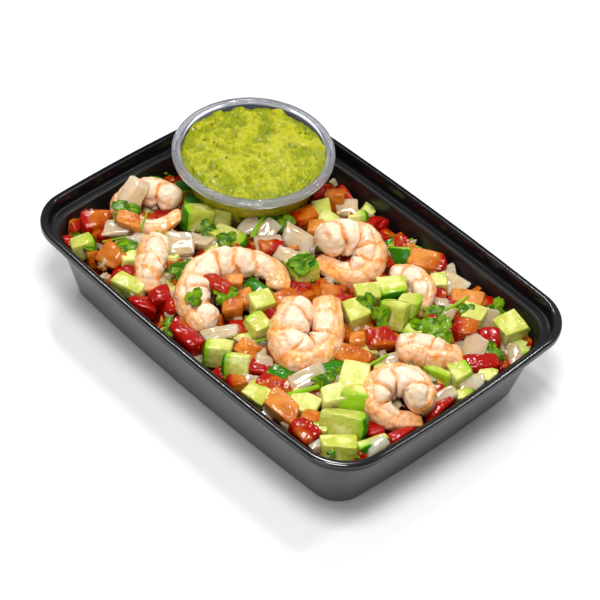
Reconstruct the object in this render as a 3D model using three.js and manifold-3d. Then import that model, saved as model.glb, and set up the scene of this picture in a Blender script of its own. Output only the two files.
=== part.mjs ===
// Shrimp ceviche: a black meal tray filled with a heap of diced cucumber, tomato, onion and
// cilantro, eight curled shrimps on the heap, and a clear cup of guacamole standing in one corner.
// Millimetres, +Z up. The origin is on the table under the middle of the tray, X is the tray's
// long side, and the cup stands in the (-X, +Y) corner.

import {
  BoxGeometry, BufferAttribute, BufferGeometry, CatmullRomCurve3, CylinderGeometry, ExtrudeGeometry,
  Group, LatheGeometry, MathUtils, Matrix4, Mesh, MeshStandardMaterial, Quaternion, Shape, Vector2,
  Vector3
} from 'three';
import { ImprovedNoise } from 'three/addons/math/ImprovedNoise.js';
import { mergeVertices } from 'three/addons/utils/BufferGeometryUtils.js';
import Module from 'manifold-3d';

const wasm = await Module();
wasm.setup();

// ---- Driving dimensions ----------------------------------------------------------------------

const trayLength = 222;        // over the rim
const trayWidth = 156.8;       // over the rim
const trayHeight = 44.8;
const sideBow = 3.05;          // how far the middle of each side stands out past its corners
const rimCorner = 20.5;        // corner radius of the rim's plan
const baseCorner = 12;         // corner radius of the base's plan
const baseInset = 14.6;        // how far the base stands in from the rim
const traySkin = 0.8;
const lipDrop = 3.4;           // turned-down lip under the rim
const beadWidth = 2.8;         // flat top of the rim
const recessInset = 3.4;       // wall of the recess that takes the lid
const ledgeDrop = 7.4;         // the lid's ledge below the rim's top
const ledgeInset = 8;          // inner edge of that ledge
const footRise = 3.6;          // height of the rounded edge round the base
const footRound = 4;           // and how far it reaches in under the tray
const beadTop = 0.8;           // height of the rounded top of the rim's outer edge

const cupHeight = 33;
const cupRimRadius = 39.2;
const cupTopRadius = 35.4;     // outside of the wall, under the rim
const cupBaseRadius = 26.5;
const cupSkin = 0.7;
const cupNeck = 2;             // height of the roll from the wall out to the rim
const cupLipDrop = 2.8;        // turned-down edge of the rim
const cupRimCentre = new Vector3(-63, 28.6, 58.9);
const cupTilt = 1.3;           // degrees, the far side of the rim up
const cupTiltHeading = 43.7;   // degrees from +X, the level line that the cup is tilted about

const dipEdgeDrop = 3.6;       // guacamole below the rim at the cup's wall
const dipCrownDrop = 1.3;      // and at its crown
const dipLump = 0.7;           // height of its lumps
const dipLumpPitch = 5;        // and how far apart they lie

const gap = 0.35;              // clearance between pieces that rest on each other
const noiseGain = 1.6;         // brings the peaks of the noise that makes the lumps to about 1

const heapEdge = 31;           // height of the bare heap at the tray's wall
const heapCrown = 5;           // how much higher its middle is
const crownReachX = 100;       // where the crown has come down to the edge's height
const crownReachY = 70;
const heapDip = 4;             // how much lower it lies along the tray's +Y wall
const dipStart = 36;           // and between which Y it comes down to that
const dipEnd = 66;
const heapLump = 1.1;          // height of its lumps
const heapLumpPitch = 9;       // and how far apart they lie
const heapRings = 6;           // rings of faces over its top, round an oblong middle one
const heapMiddle = 62;         // inset of that middle ring

const pieceCount = 155;        // diced pieces, leaves and stems that show on the heap
const cucumberSize = 12;
const tomatoSize = 11;
const onionSize = 11;
const leafSize = 14;
const heapTolerance = 0.05;    // faces of the joined heap smaller than this are merged
const packing = 0.55;          // how close two pieces may lie, as a share of their reaches
const seed = 26;

// Each shrimp: its thickest radius, its tail's radius as a share of that, and the points that its
// middle line passes through, from the cut head end to the tail.
const shrimps = {
  shrimp_1: { radius: 6.4, tail: 0.5, spine: [[-71, -11, 41], [-81, -13, 42], [-89, -20, 41],
    [-90, -29, 38], [-83, -34, 35], [-74, -33, 35], [-67, -27, 37], [-65, -14, 41]] },
  shrimp_2: { radius: 7.8, tail: 0.6, spine: [[-61, -34.9, 36], [-52.3, -43.5, 39],
    [-44.9, -52.1, 38], [-38.3, -56.9, 33]] },
  shrimp_3: { radius: 8, tail: 0.62, spine: [[-0.3, -54.2, 36.5], [-10.2, -52.3, 38.5],
    [-19.2, -48.2, 40], [-24.6, -40.5, 41.5], [-26, -32.1, 43], [-24.2, -25.1, 44],
    [-19.5, -18.2, 44], [-13.6, -12.3, 43.5], [-7.9, -9.2, 42], [-2.4, -9.7, 40],
    [0.9, -13.2, 37.5]] },
  shrimp_4: { radius: 8, tail: 0.55, spine: [[-3.7, 16.1, 48], [-2, 24.8, 48], [1.7, 31.8, 46.5],
    [6.8, 36.2, 44.5], [13.6, 34.5, 42], [17.6, 28.8, 40], [17.2, 22.2, 38.5], [13, 17.9, 38],
    [5.7, 16.5, 38], [-3, 16.4, 37.5]] },
  shrimp_5: { radius: 6.2, tail: 0.5, spine: [[26.3, 37, 32.5], [29.8, 39.7, 36], [36, 41, 38.5],
    [44.1, 39.4, 39], [48.6, 34.5, 37], [51.3, 27, 34]] },
  shrimp_6: { radius: 8.8, tail: 0.64, spine: [[18.6, -15, 43], [23.1, -24.8, 43.5],
    [27.9, -32.2, 43], [32.9, -36.7, 41.5], [38.4, -36.8, 39.5], [42.6, -32.8, 39],
    [43.5, -25.6, 39.5], [40.7, -19, 42], [34.9, -13.7, 45], [25.6, -6.5, 48]] },
  shrimp_7: { radius: 7.8, tail: 0.75, spine: [[64.6, 1, 37], [68.3, 6.1, 38.5],
    [73.8, 10.8, 38.5], [79.8, 15, 38], [83.9, 23.3, 36.5]] },
  shrimp_8: { radius: 7.2, tail: 0.56, spine: [[96.9, -18.4, 40], [93, -12.2, 41.5],
    [87.2, -10.2, 42.5], [81.5, -12.1, 43], [77.5, -16.7, 42.5], [77.1, -23, 41],
    [80.8, -28.6, 39.5], [85.1, -29.7, 37], [90.2, -27.1, 35], [93.9, -21.9, 33.5],
    [97, -14.9, 32]] }
};
const shrimpSegments = 6;

// ---- Materials ---------------------------------------------------------------------------------

function finish(color, roughness) {
  return new MeshStandardMaterial({ color, roughness, metalness: 0 });
}

const looks = {
  tray: finish(0x141416, 0.28),
  cup: finish(0xdfe4e4, 0.1),
  dip: finish(0xa9b22e, 0.5),
  shrimp: finish(0xf2c9a6, 0.3),
  heap: finish(0xb9a04c, 0.4)
};

// ---- Helpers -----------------------------------------------------------------------------------

// A small seeded generator, so that the heap is the same every time.
let draw = seed;
function random(low, high) {
  draw = (draw * 16807) % 2147483647;
  return low + (high - low) * draw / 2147483647;
}

function toSolid(geometry) {
  const bare = geometry.index ? geometry : mergeVertices(geometry);
  bare.deleteAttribute('normal');
  bare.deleteAttribute('uv');
  const merged = mergeVertices(bare, 1e-4);
  return new wasm.Manifold(new wasm.Mesh({
    numProp: 3,
    vertProperties: merged.attributes.position.array,
    triVerts: Uint32Array.from(merged.index.array)
  }));
}

function toGeometry(solid) {
  const mesh = solid.getMesh();
  const geometry = new BufferGeometry();
  geometry.setAttribute('position', new BufferAttribute(mesh.vertProperties, mesh.numProp));
  geometry.setIndex(new BufferAttribute(mesh.triVerts, 1));
  geometry.computeVertexNormals();
  return geometry;
}

// Moves every vertex of a geometry to the place that a function gives for it.
function reshape(geometry, place) {
  const position = geometry.attributes.position;
  const point = new Vector3();
  for (let i = 0; i < position.count; i++) {
    point.fromBufferAttribute(position, i);
    place(point, i);
    position.setXYZ(i, point.x, point.y, point.z);
  }
  return geometry;
}

// ---- Tray --------------------------------------------------------------------------------------

const cornerSteps = 6;
const sideSteps = 6;
const columns = 4 * (cornerSteps + sideSteps);
const cornerShrink = (rimCorner - baseCorner) / baseInset;

// Pushes a point of the plan out by the bow of the sides.
function bowOut(x, y, halfLong, halfShort) {
  const alongX = 1 - (x / halfLong) ** 2;
  const alongY = 1 - (y / halfShort) ** 2;
  return [
    x + Math.sign(x) * sideBow * Math.max(alongY, 0) * Math.min(Math.abs(x) / halfLong, 1),
    y + Math.sign(y) * sideBow * Math.max(alongX, 0) * Math.min(Math.abs(y) / halfShort, 1)
  ];
}

// The plan at a given inset from the rim, as one point for each column, counter-clockwise.
function plan(inset) {
  const halfLong = trayLength / 2 - sideBow - inset;
  const halfShort = trayWidth / 2 - sideBow - inset;
  const corner = Math.max(rimCorner - cornerShrink * inset, 1);
  const corners = [[1, -1], [1, 1], [-1, 1], [-1, -1]].map(([x, y]) => (
    [x * (halfLong - corner), y * (halfShort - corner)]
  ));
  const points = [];
  corners.forEach(([x, y], quarter) => {
    for (let step = 0; step < cornerSteps; step++) {
      const angle = (quarter - 1 + step / cornerSteps) * Math.PI / 2;
      points.push([x + corner * Math.cos(angle), y + corner * Math.sin(angle)]);
    }
    const angle = quarter * Math.PI / 2;
    const from = [x + corner * Math.cos(angle), y + corner * Math.sin(angle)];
    const next = corners[(quarter + 1) % 4];
    const to = [next[0] + corner * Math.cos(angle), next[1] + corner * Math.sin(angle)];
    for (let step = 0; step < sideSteps; step++) {
      const share = step / sideSteps;
      points.push([MathUtils.lerp(from[0], to[0], share), MathUtils.lerp(from[1], to[1], share)]);
    }
  });
  return points.map(([x, y]) => bowOut(x, y, halfLong, halfShort));
}

// A lathe whose round plan is squared off to the tray's. Rows are [inset, height]; an inset of
// null is the middle of the tray.
function squaredLathe(rows) {
  const profile = rows.map(([inset, z]) => new Vector2(inset === null ? 0 : 1, z));
  const plans = rows.map(([inset]) => (inset === null ? null : plan(inset)));
  return reshape(new LatheGeometry(profile, columns), (point, i) => {
    const row = i % rows.length;
    const column = Math.floor(i / rows.length) % columns;
    const [x, y] = plans[row] ? plans[row][column] : [0, 0];
    point.set(x, y, rows[row][1]);
  });
}

const ledgeHeight = trayHeight - ledgeDrop;
const innerWallTop = [ledgeInset, ledgeHeight - 0.9];
const innerWallFoot = [baseInset + traySkin, footRise + traySkin];

function trayGeometry() {
  const outside = [
    [null, 0],
    [baseInset + footRound, 0],
    [baseInset + 0.3 * footRound, 1],
    [baseInset, footRise],
    [ledgeInset - traySkin, ledgeHeight - 1],
    [recessInset - 0.2, ledgeHeight - traySkin],
    [recessInset - traySkin, ledgeHeight],
    [recessInset - traySkin, trayHeight - 1.4]
  ];
  const lip = [
    [traySkin, trayHeight - 1.4],
    [traySkin, trayHeight - lipDrop],
    [0, trayHeight - lipDrop],
    [0, trayHeight - beadTop],
    [0.7, trayHeight],
    [beadWidth - 0.5, trayHeight],
    [beadWidth, trayHeight - 0.6]
  ];
  const inside = [
    [recessInset, ledgeHeight + 0.6],
    [recessInset + 0.6, ledgeHeight],
    [ledgeInset - 0.7, ledgeHeight - 0.1],
    innerWallTop,
    innerWallFoot,
    [baseInset + traySkin + 0.35 * footRound, 2],
    [baseInset + traySkin + footRound, traySkin],
    [null, traySkin]
  ];
  return squaredLathe([...outside, ...lip, ...inside]);
}

// Inset of the tray's inner wall at a height below its ledge.
function wallInset(z) {
  return MathUtils.mapLinear(z, innerWallFoot[1], innerWallTop[1], innerWallFoot[0], innerWallTop[0]);
}

// ---- Cup and guacamole -------------------------------------------------------------------------

const cupTurns = 36;
const cupPlace = new Matrix4().makeTranslation(cupRimCentre).multiply(
  new Matrix4().makeRotationAxis(
    new Vector3(
      Math.cos(MathUtils.degToRad(cupTiltHeading)),
      Math.sin(MathUtils.degToRad(cupTiltHeading)),
      0
    ),
    MathUtils.degToRad(cupTilt)
  )
).multiply(new Matrix4().makeTranslation(0, 0, -cupHeight));

function roundLathe(rows) {
  const profile = rows.map(([radius, z]) => new Vector2(radius, z));
  return new LatheGeometry(profile, cupTurns).rotateX(Math.PI / 2);
}

// Inside radius of the cup at a height above its base.
function cupInside(z) {
  return MathUtils.mapLinear(z, 1, cupHeight - cupNeck, cupBaseRadius, cupTopRadius) - cupSkin;
}

function cupGeometry() {
  return roundLathe([
    [0, 0],
    [cupBaseRadius - 1, 0],
    [cupBaseRadius, 1],
    [cupTopRadius, cupHeight - cupNeck],
    [cupRimRadius - cupSkin - 0.3, cupHeight - 1.6],
    [cupRimRadius - cupSkin, cupHeight - cupLipDrop],
    [cupRimRadius, cupHeight - cupLipDrop],
    [cupRimRadius, cupHeight - 0.8],
    [cupRimRadius - 0.8, cupHeight],
    [cupTopRadius + 0.6, cupHeight],
    [cupTopRadius - cupSkin, cupHeight - cupNeck],
    [cupInside(2), 2],
    [cupInside(2) - 1, cupSkin],
    [0, cupSkin]
  ]);
}

function dipGeometry() {
  const edge = cupHeight - dipEdgeDrop;
  const crown = cupHeight - dipCrownDrop;
  const rows = [[0, cupSkin + gap], [cupInside(2) - 2, cupSkin + gap], [cupInside(2) - gap, 3]];
  const rings = 7;
  const topRadius = cupInside(edge) - gap;
  for (let ring = 0; ring <= rings; ring++) {
    const share = 1 - ring / rings;
    rows.push([topRadius * share, MathUtils.lerp(crown, edge, share ** 3)]);
  }
  const noise = new ImprovedNoise();
  return reshape(roundLathe(rows), (point) => {
    const radius = Math.hypot(point.x, point.y);
    if (point.z < edge - 0.1 || radius > topRadius - 1) return;
    const lump = noise.noise(point.x / dipLumpPitch, point.y / dipLumpPitch, 3);
    point.z += dipLump * noiseGain * lump;
  });
}

// ---- Shrimps -----------------------------------------------------------------------------------

// Width of a shrimp at a share of its length, as a share of its thickest: full at the cut end
// and thinner at the tail.
function shrimpTaper(along, tail) {
  const neck = MathUtils.lerp(0.92, 1, MathUtils.smoothstep(along, 0, 0.2));
  return neck * MathUtils.lerp(1, tail, MathUtils.smoothstep(along, 0.45, 1.05));
}

// A lathe bent along a shrimp's middle line. The profile runs from one end of the line to the
// other in steps of [share of the radius, share of the length].
function bendAlong({ radius, spine }, profile, sides) {
  const line = new CatmullRomCurve3(spine.map((point) => new Vector3(...point)));
  const up = new Vector3(0, 0, 1);
  const points = profile.map(([width, along]) => new Vector2(width, along));
  return reshape(new LatheGeometry(points, sides), (point) => {
    const share = MathUtils.clamp(point.y, 0, 1);
    const along = line.getTangentAt(share);
    const side = new Vector3().crossVectors(along, up).normalize();
    const rise = new Vector3().crossVectors(side, along);
    const centre = line.getPointAt(share).addScaledVector(along, (point.y - share) * line.getLength());
    const { x, z } = point;
    point.copy(centre).addScaledVector(side, x * radius).addScaledVector(rise, z * radius);
  });
}

// The body of a shrimp: every segment swells behind a notch.
function shrimpGeometry(spec) {
  const profile = [[0, 0], [0.62, 0.02]];
  for (let segment = 0; segment < shrimpSegments; segment++) {
    for (const [share, width] of [[0.1, 0.9], [0.55, 1.04]]) {
      const along = (segment + share) / shrimpSegments;
      profile.push([width * shrimpTaper(along, spec.tail), along]);
    }
  }
  profile.push([0.72 * spec.tail, 0.985], [0, 1]);
  return bendAlong(spec, profile, 10);
}

// The dent that a shrimp presses into the heap: a plainer body, larger all round by the gap.
function shrimpDent(spec) {
  const sides = 8;
  const rows = 14;
  const spread = 1.06 / Math.cos(Math.PI / sides);
  const profile = [[0, -gap / 20]];
  for (let row = 0; row <= rows; row++) {
    const along = row / rows;
    profile.push([spread * shrimpTaper(along, spec.tail) + (gap + 0.15) / spec.radius, along]);
  }
  profile.push([0, 1 + gap / 20]);
  return bendAlong(spec, profile, sides);
}

// ---- Salad heap --------------------------------------------------------------------------------

// Height of the bare heap.
function heapTop(x, y) {
  const crown = heapCrown * (1 - (x / crownReachX) ** 2) * (1 - (y / crownReachY) ** 2);
  return heapEdge + crown - heapDip * MathUtils.smoothstep(y, dipStart, dipEnd);
}

function heapCore() {
  const floor = traySkin + gap;
  const rows = [
    [null, floor],
    [baseInset + traySkin + footRound + gap, floor],
    [baseInset + traySkin + 0.35 * footRound + gap, 2 + gap],
    [innerWallFoot[0] + gap, innerWallFoot[1] + gap],
    [wallInset(heapEdge - heapDip) + gap, heapEdge - heapDip - 1]
  ];
  const firstRing = wallInset(heapEdge - heapDip) + gap + 2;
  for (let ring = 0; ring < heapRings; ring++) {
    rows.push([MathUtils.lerp(firstRing, heapMiddle, ring / (heapRings - 1)), heapEdge]);
  }
  rows.push([null, heapEdge]);
  const noise = new ImprovedNoise();
  return reshape(squaredLathe(rows), (point) => {
    if (point.z < heapEdge) return;
    const lump = noise.noise(point.x / heapLumpPitch, point.y / heapLumpPitch, 7);
    point.z = heapTop(point.x, point.y) + heapLump * noiseGain * lump;
  });
}

// A diced piece: a box with one skewed pair of sides.
function dice(size) {
  const block = new BoxGeometry(
    size * random(0.8, 1.15), size * random(0.8, 1.1), size * random(0.65, 0.95)
  );
  const lean = random(-0.2, 0.2);
  return reshape(block, (point) => {
    point.x += lean * point.z;
  });
}

// A piece of one onion layer: part of a ring of the onion, curved across its width.
function petal(size) {
  const outer = size * 1.1;
  const inner = outer - size * 0.22;
  const half = random(0.45, 0.6);
  const shape = new Shape();
  shape.absarc(0, 0, outer, Math.PI / 2 - half, Math.PI / 2 + half, false);
  shape.absarc(0, 0, inner, Math.PI / 2 + half, Math.PI / 2 - half, true);
  const depth = size * random(0.7, 1);
  const ring = new ExtrudeGeometry(shape, { depth, bevelEnabled: false, curveSegments: 3 });
  return ring.translate(0, -(outer + inner) / 2, -depth / 2).rotateX(Math.PI / 2);
}

// A cilantro leaflet: a thin lobed plate that curls up towards its edges.
function leaf(size) {
  const shape = new Shape();
  const lobes = 5;
  const points = lobes * 3;
  for (let i = 0; i < points; i++) {
    const turn = i / points * 2 * Math.PI;
    const reach = size / 2 * (i % 3 === 0 ? 0.62 : 1);
    shape[i ? 'lineTo' : 'moveTo'](reach * Math.cos(turn), 0.8 * reach * Math.sin(turn));
  }
  shape.closePath();
  const plate = new ExtrudeGeometry(shape, { depth: 0.8, bevelEnabled: false });
  return reshape(plate, (point) => {
    point.z += 0.05 * point.x * point.x - 0.03 * point.y * point.x;
  });
}

function stem(size) {
  return new CylinderGeometry(0.9, 0.9, size * 1.1, 5).rotateZ(Math.PI / 2);
}

// Every kind of piece, how often it comes up, how high its middle stands on the bare heap, and
// how far it may be tilted.
const kinds = [
  { share: 0.36, make: () => dice(cucumberSize), reach: cucumberSize * 0.72, rise: 2.4, tilt: 0.5 },
  { share: 0.33, make: () => dice(tomatoSize), reach: tomatoSize * 0.7, rise: 1.8, tilt: 0.5 },
  { share: 0.19, make: () => petal(onionSize), reach: onionSize * 0.6, rise: 2.2, tilt: 0.6 },
  { share: 0.07, make: () => leaf(leafSize), reach: leafSize * 0.45, rise: 0.6, tilt: 0.2 },
  { share: 0.05, make: () => stem(leafSize), reach: leafSize * 0.45, rise: 0.9, tilt: 0.1 }
];

function pickKind() {
  let left = random(0, 1);
  return kinds.find(({ share }) => (left -= share) < 0) ?? kinds[0];
}

const shrimpLines = Object.values(shrimps).map(({ radius, spine }) => ({
  radius,
  points: new CatmullRomCurve3(spine.map((point) => new Vector3(...point))).getSpacedPoints(16)
}));

// Whether a piece of a given reach at a place keeps clear of the wall, the cup and the shrimps.
function isFree(x, y, reach) {
  const z = heapTop(x, y) + 4;
  const inset = wallInset(z) + reach + 0.5;
  if (Math.abs(x) > trayLength / 2 - inset || Math.abs(y) > trayWidth / 2 - inset) return false;
  const corner = baseCorner + 8;
  const cornerX = Math.abs(x) - (trayLength / 2 - inset - corner);
  const cornerY = Math.abs(y) - (trayWidth / 2 - inset - corner);
  if (cornerX > 0 && cornerY > 0 && Math.hypot(cornerX, cornerY) > corner) return false;
  const cupReach = cupBaseRadius + 6 + reach;
  if (Math.hypot(x - cupRimCentre.x, y - cupRimCentre.y) < cupReach) return false;
  return shrimpLines.every(({ radius, points }) => points.every((point) => (
    Math.hypot(point.x - x, point.y - y) > radius + reach * 0.75
  )));
}

// Pieces dropped at random places, each kept only where it has room beside the ones before it.
function heapPieces() {
  const pieces = [];
  const taken = [];
  const tries = 40 * pieceCount;
  for (let attempt = 0; attempt < tries && pieces.length < pieceCount; attempt++) {
    const kind = pickKind();
    const x = random(-0.5, 0.5) * trayLength;
    const y = random(-0.5, 0.5) * trayWidth;
    const crowded = taken.some((other) => (
      Math.hypot(x - other.x, y - other.y) < packing * (kind.reach + other.reach)
    ));
    if (crowded || !isFree(x, y, kind.reach)) continue;
    taken.push({ x, y, reach: kind.reach });
    const turn = new Quaternion().setFromAxisAngle(new Vector3(0, 0, 1), random(0, Math.PI));
    const heading = random(0, 2 * Math.PI);
    const tilt = new Quaternion().setFromAxisAngle(
      new Vector3(Math.cos(heading), Math.sin(heading), 0), random(0, kind.tilt)
    );
    const middle = new Vector3(x, y, heapTop(x, y) + kind.rise * random(0.6, 1.4));
    const place = new Matrix4().compose(middle, tilt.multiply(turn), new Vector3(1, 1, 1));
    pieces.push(kind.make().applyMatrix4(place));
  }
  return pieces;
}

// What the shrimps and the cup press into the heap.
function pockets() {
  const cup = roundLathe([
    [0, -gap],
    [cupBaseRadius + gap, -gap],
    [cupTopRadius + gap + 0.3, cupHeight - cupNeck],
    [0, cupHeight - cupNeck]
  ]).applyMatrix4(cupPlace);
  return [...Object.values(shrimps).map(shrimpDent), cup];
}

// The room that the tray's inner walls leave, carried straight up past the rim.
function trayRoom() {
  const floor = traySkin + gap;
  return squaredLathe([
    [null, floor],
    [baseInset + traySkin + footRound + gap, floor],
    [baseInset + traySkin + 0.35 * footRound + gap, 2 + gap],
    [innerWallFoot[0] + gap, innerWallFoot[1] + gap],
    [innerWallTop[0] + gap, innerWallTop[1]],
    [innerWallTop[0] + gap, trayHeight * 2],
    [null, trayHeight * 2]
  ]);
}

function saladGeometry() {
  let heap = toSolid(heapCore());
  for (const piece of heapPieces()) heap = heap.add(toSolid(piece));
  heap = heap.intersect(toSolid(trayRoom()));
  for (const pocket of pockets()) heap = heap.subtract(toSolid(pocket));
  const bodies = heap.asOriginal().simplify(heapTolerance).decompose();
  bodies.sort((a, b) => b.volume() - a.volume());
  return toGeometry(bodies[0]);
}

// ---- The dish ----------------------------------------------------------------------------------

function named(name, geometry, material) {
  const mesh = new Mesh(geometry, material);
  mesh.name = name;
  return mesh;
}

const dish = new Group();
dish.add(named('container', trayGeometry(), looks.tray));
dish.add(named('dip_cup', cupGeometry().applyMatrix4(cupPlace), looks.cup));
dish.add(named('guacamole', dipGeometry().applyMatrix4(cupPlace), looks.dip));
dish.add(named('salad', saladGeometry(), looks.heap));
for (const [name, spec] of Object.entries(shrimps)) {
  dish.add(named(name, shrimpGeometry(spec), looks.shrimp));
}

export default dish;
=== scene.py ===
"""Looks of a shrimp ceviche in its meal tray, laid out as a Blender add-on.

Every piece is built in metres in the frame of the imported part: the origin is on the table under
the middle of the tray, X is the tray's long side, Z is up, and the cup stands at -X and +Y.
"""

import math
import random

import bmesh
import bpy
from bpy.props import FloatProperty, FloatVectorProperty, IntProperty, PointerProperty
from bpy.types import Operator, Panel, PropertyGroup
from mathutils import Matrix, Quaternion, Vector, geometry, noise


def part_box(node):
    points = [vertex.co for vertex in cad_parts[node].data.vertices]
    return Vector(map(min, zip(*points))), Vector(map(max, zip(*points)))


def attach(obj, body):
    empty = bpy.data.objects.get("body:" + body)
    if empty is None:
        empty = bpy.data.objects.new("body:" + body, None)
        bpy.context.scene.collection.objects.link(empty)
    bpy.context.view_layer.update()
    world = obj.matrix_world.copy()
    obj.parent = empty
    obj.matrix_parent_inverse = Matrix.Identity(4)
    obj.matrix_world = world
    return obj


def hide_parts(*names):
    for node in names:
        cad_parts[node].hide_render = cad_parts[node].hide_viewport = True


bl_info = {
    "name": "Shrimp Ceviche",
    "version": (1, 0, 0),
    "blender": (4, 5, 0),
    "location": "3D View > Sidebar > Ceviche",
    "description": "Dresses the tray, the cup, the salad and the shrimps of a shrimp ceviche",
    "category": "Object",
}

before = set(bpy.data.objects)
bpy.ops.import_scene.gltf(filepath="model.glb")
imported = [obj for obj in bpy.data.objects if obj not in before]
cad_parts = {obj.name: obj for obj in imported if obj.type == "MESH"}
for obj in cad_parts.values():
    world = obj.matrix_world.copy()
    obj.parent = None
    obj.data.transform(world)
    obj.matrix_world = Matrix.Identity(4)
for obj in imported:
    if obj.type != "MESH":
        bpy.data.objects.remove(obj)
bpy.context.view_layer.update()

MM = 0.001
FULL_TURN = 2 * math.pi
TRAY_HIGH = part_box("container")[1]
CUP_LOW, CUP_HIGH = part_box("dip_cup")

# ---- Camera ------------------------------------------------------------------------------------

IMAGE_SIDE = 600  # pixels, both ways
CAMERA_HEADING = math.radians(43.72)
CAMERA_RISE = math.radians(43.72)
CAMERA_ROLL = math.radians(4.87)
CAMERA_DISTANCE = 1040.4 * MM
CAMERA_TARGET = Vector((-15.13, 19.33, 0)) * MM
CAMERA_LENS = 129.0
CAMERA_SENSOR = 36.0


def camera_axes():
    """The camera's right, up and back directions."""
    heading, rise, roll = CAMERA_HEADING, CAMERA_RISE, CAMERA_ROLL
    level = Vector((math.cos(heading), math.sin(heading), 0))
    level_part = math.cos(rise)
    back = Vector((math.sin(heading) * level_part, -math.cos(heading) * level_part, math.sin(rise)))
    raised = back.cross(level)
    right = level * math.cos(roll) + raised * math.sin(roll)
    up = raised * math.cos(roll) - level * math.sin(roll)
    return right, up, back


def seen_at(pixel_x, pixel_y, height):
    """The point at a height above the table that the camera sees at a pixel."""
    right, up, back = camera_axes()
    reach = CAMERA_LENS / CAMERA_SENSOR * IMAGE_SIDE
    middle = IMAGE_SIDE / 2
    eye = CAMERA_TARGET + back * CAMERA_DISTANCE
    ray = right * (pixel_x - middle) + up * (middle - pixel_y) - back * reach
    return eye + ray * ((height - eye.z) / ray.z)


# ---- Settings ----------------------------------------------------------------------------------


def length(name, description, millimetres):
    return FloatProperty(
        name=name, description=description, default=millimetres * MM, min=0, unit="LENGTH", precision=5
    )


def angle(name, description, degrees):
    return FloatProperty(
        name=name, description=description, default=math.radians(degrees), subtype="ANGLE"
    )


def power(name, description, watts):
    return FloatProperty(name=name, description=description, default=watts, min=0, unit="POWER")


def colour(name, description, red, green, blue):
    return FloatVectorProperty(
        name=name, description=description, default=(red, green, blue), size=3, min=0, max=1,
        subtype="COLOR",
    )


class TraySettings(PropertyGroup):
    """Sizes and colour of the black tray."""

    side_bow: length("Side bow", "How far the middle of each side stands out past its corners", 3.05)
    rim_corner: length("Rim corner", "Corner radius of the rim", 20.5)
    base_corner: length("Base corner", "Corner radius of the base", 12)
    base_inset: length("Base inset", "How far the base stands in from the rim", 14.6)
    skin: length("Wall", "Thickness of the wall", 0.8)
    lip_drop: length("Lip", "Height of the turned-down lip", 3.4)
    bead_width: length("Bead", "Width of the rim's top", 2.8)
    recess_inset: length("Recess", "Inset of the wall that takes the lid", 3.4)
    ledge_drop: length("Ledge drop", "Depth of the lid's ledge below the rim", 7.4)
    ledge_inset: length("Ledge inset", "Inset of the ledge's inner edge", 8)
    foot_rise: length("Foot", "Height of the rounded edge round the base", 3.6)
    black: colour("Black", "Colour of the moulded plastic", 0.004, 0.004, 0.005)
    # The outside's lighter grey is a painted reflection of the bright floor beside the tray.
    outside_reflection: colour("Outside", "Colour of its duller outside", 0.018, 0.018, 0.02)


class CupSettings(PropertyGroup):
    """Sizes and colours of the clear cup and its guacamole."""

    height: length("Height", "Height of the cup", 33)
    top_radius: length("Top radius", "Outside of the wall under the rim", 35.4)
    base_radius: length("Base radius", "Outside of the wall at the base", 26.5)
    skin: length("Wall", "Thickness of the wall", 0.7)
    lip_drop: length("Lip", "Height of the rim's turned-down edge", 2.8)
    tilt: angle("Tilt", "How far the cup leans", 1.3)
    heading: angle("Tilt line", "Heading of the level line it leans about", 43.7)
    edge_drop: length("Dip edge", "Depth of the guacamole at the wall", 2.7)
    crown_drop: length("Dip crown", "Depth of the guacamole at its crown", 1.5)
    lump: length("Dip lumps", "Height of the guacamole's lumps", 1.6)
    clear: colour("Clear plastic", "Tint of the cup", 0.93, 0.95, 0.97)
    grey: colour("Rim", "Tint of the cup's thicker rim", 0.86, 0.88, 0.95)
    # Painted shade: the dark band stands in for the dark seen through the rim above the guacamole.
    shade: colour("Shade", "Dark band inside the rim, over the guacamole", 0.07, 0.075, 0.12)
    green: colour("Avocado", "Main colour of the guacamole", 0.41, 0.41, 0.001)
    # Deep avocado: its darker patches, and painted shade low in the mound and towards its edge.
    deep_and_shade: colour("Deep avocado", "Colour in its hollows", 0.22, 0.27, 0.001)
    # Pale avocado is painted light, on the lump tops.
    pale: colour("Pale avocado", "Colour of its pale lumps", 0.52, 0.5, 0.02)
    chunk: colour("Avocado chunks", "Colour of its small chunks", 0.66, 0.62, 0.16)
    browned: colour("Browned avocado", "Colour of its browned patches", 0.3, 0.2, 0.01)
    # Painted light: the side, in shade behind the cup wall, is painted lighter and yellower.
    side: colour("Side", "Colour of its side, seen through the cup", 0.88, 0.8, 0.03)


class HeapSettings(PropertyGroup):
    """Form of the salad under its visible pieces."""

    edge: length("Edge", "Height of the heap at the tray's wall", 31)
    crown: length("Crown", "How much higher its middle is", 5)
    crown_x: length("Crown reach along", "Where the crown has come down, along the tray", 100)
    crown_y: length("Crown reach across", "Where the crown has come down, across the tray", 70)
    dip: length("Dip", "How much lower it lies along the far wall", 4)
    dip_start: length("Dip start", "Where that dip starts", 36)
    dip_end: length("Dip end", "Where that dip ends", 66)
    sink: length("Core depth", "How deep the juicy core lies under the pieces", 3.5)
    fillers: IntProperty(name="Fillers", description="Pieces between the main ones", default=420, min=0)
    seed: IntProperty(name="Seed", description="Seed of every random draw", default=7)
    juice: colour("Juice", "Colour of the core and its juice", 0.13, 0.006, 0.001)


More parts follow.
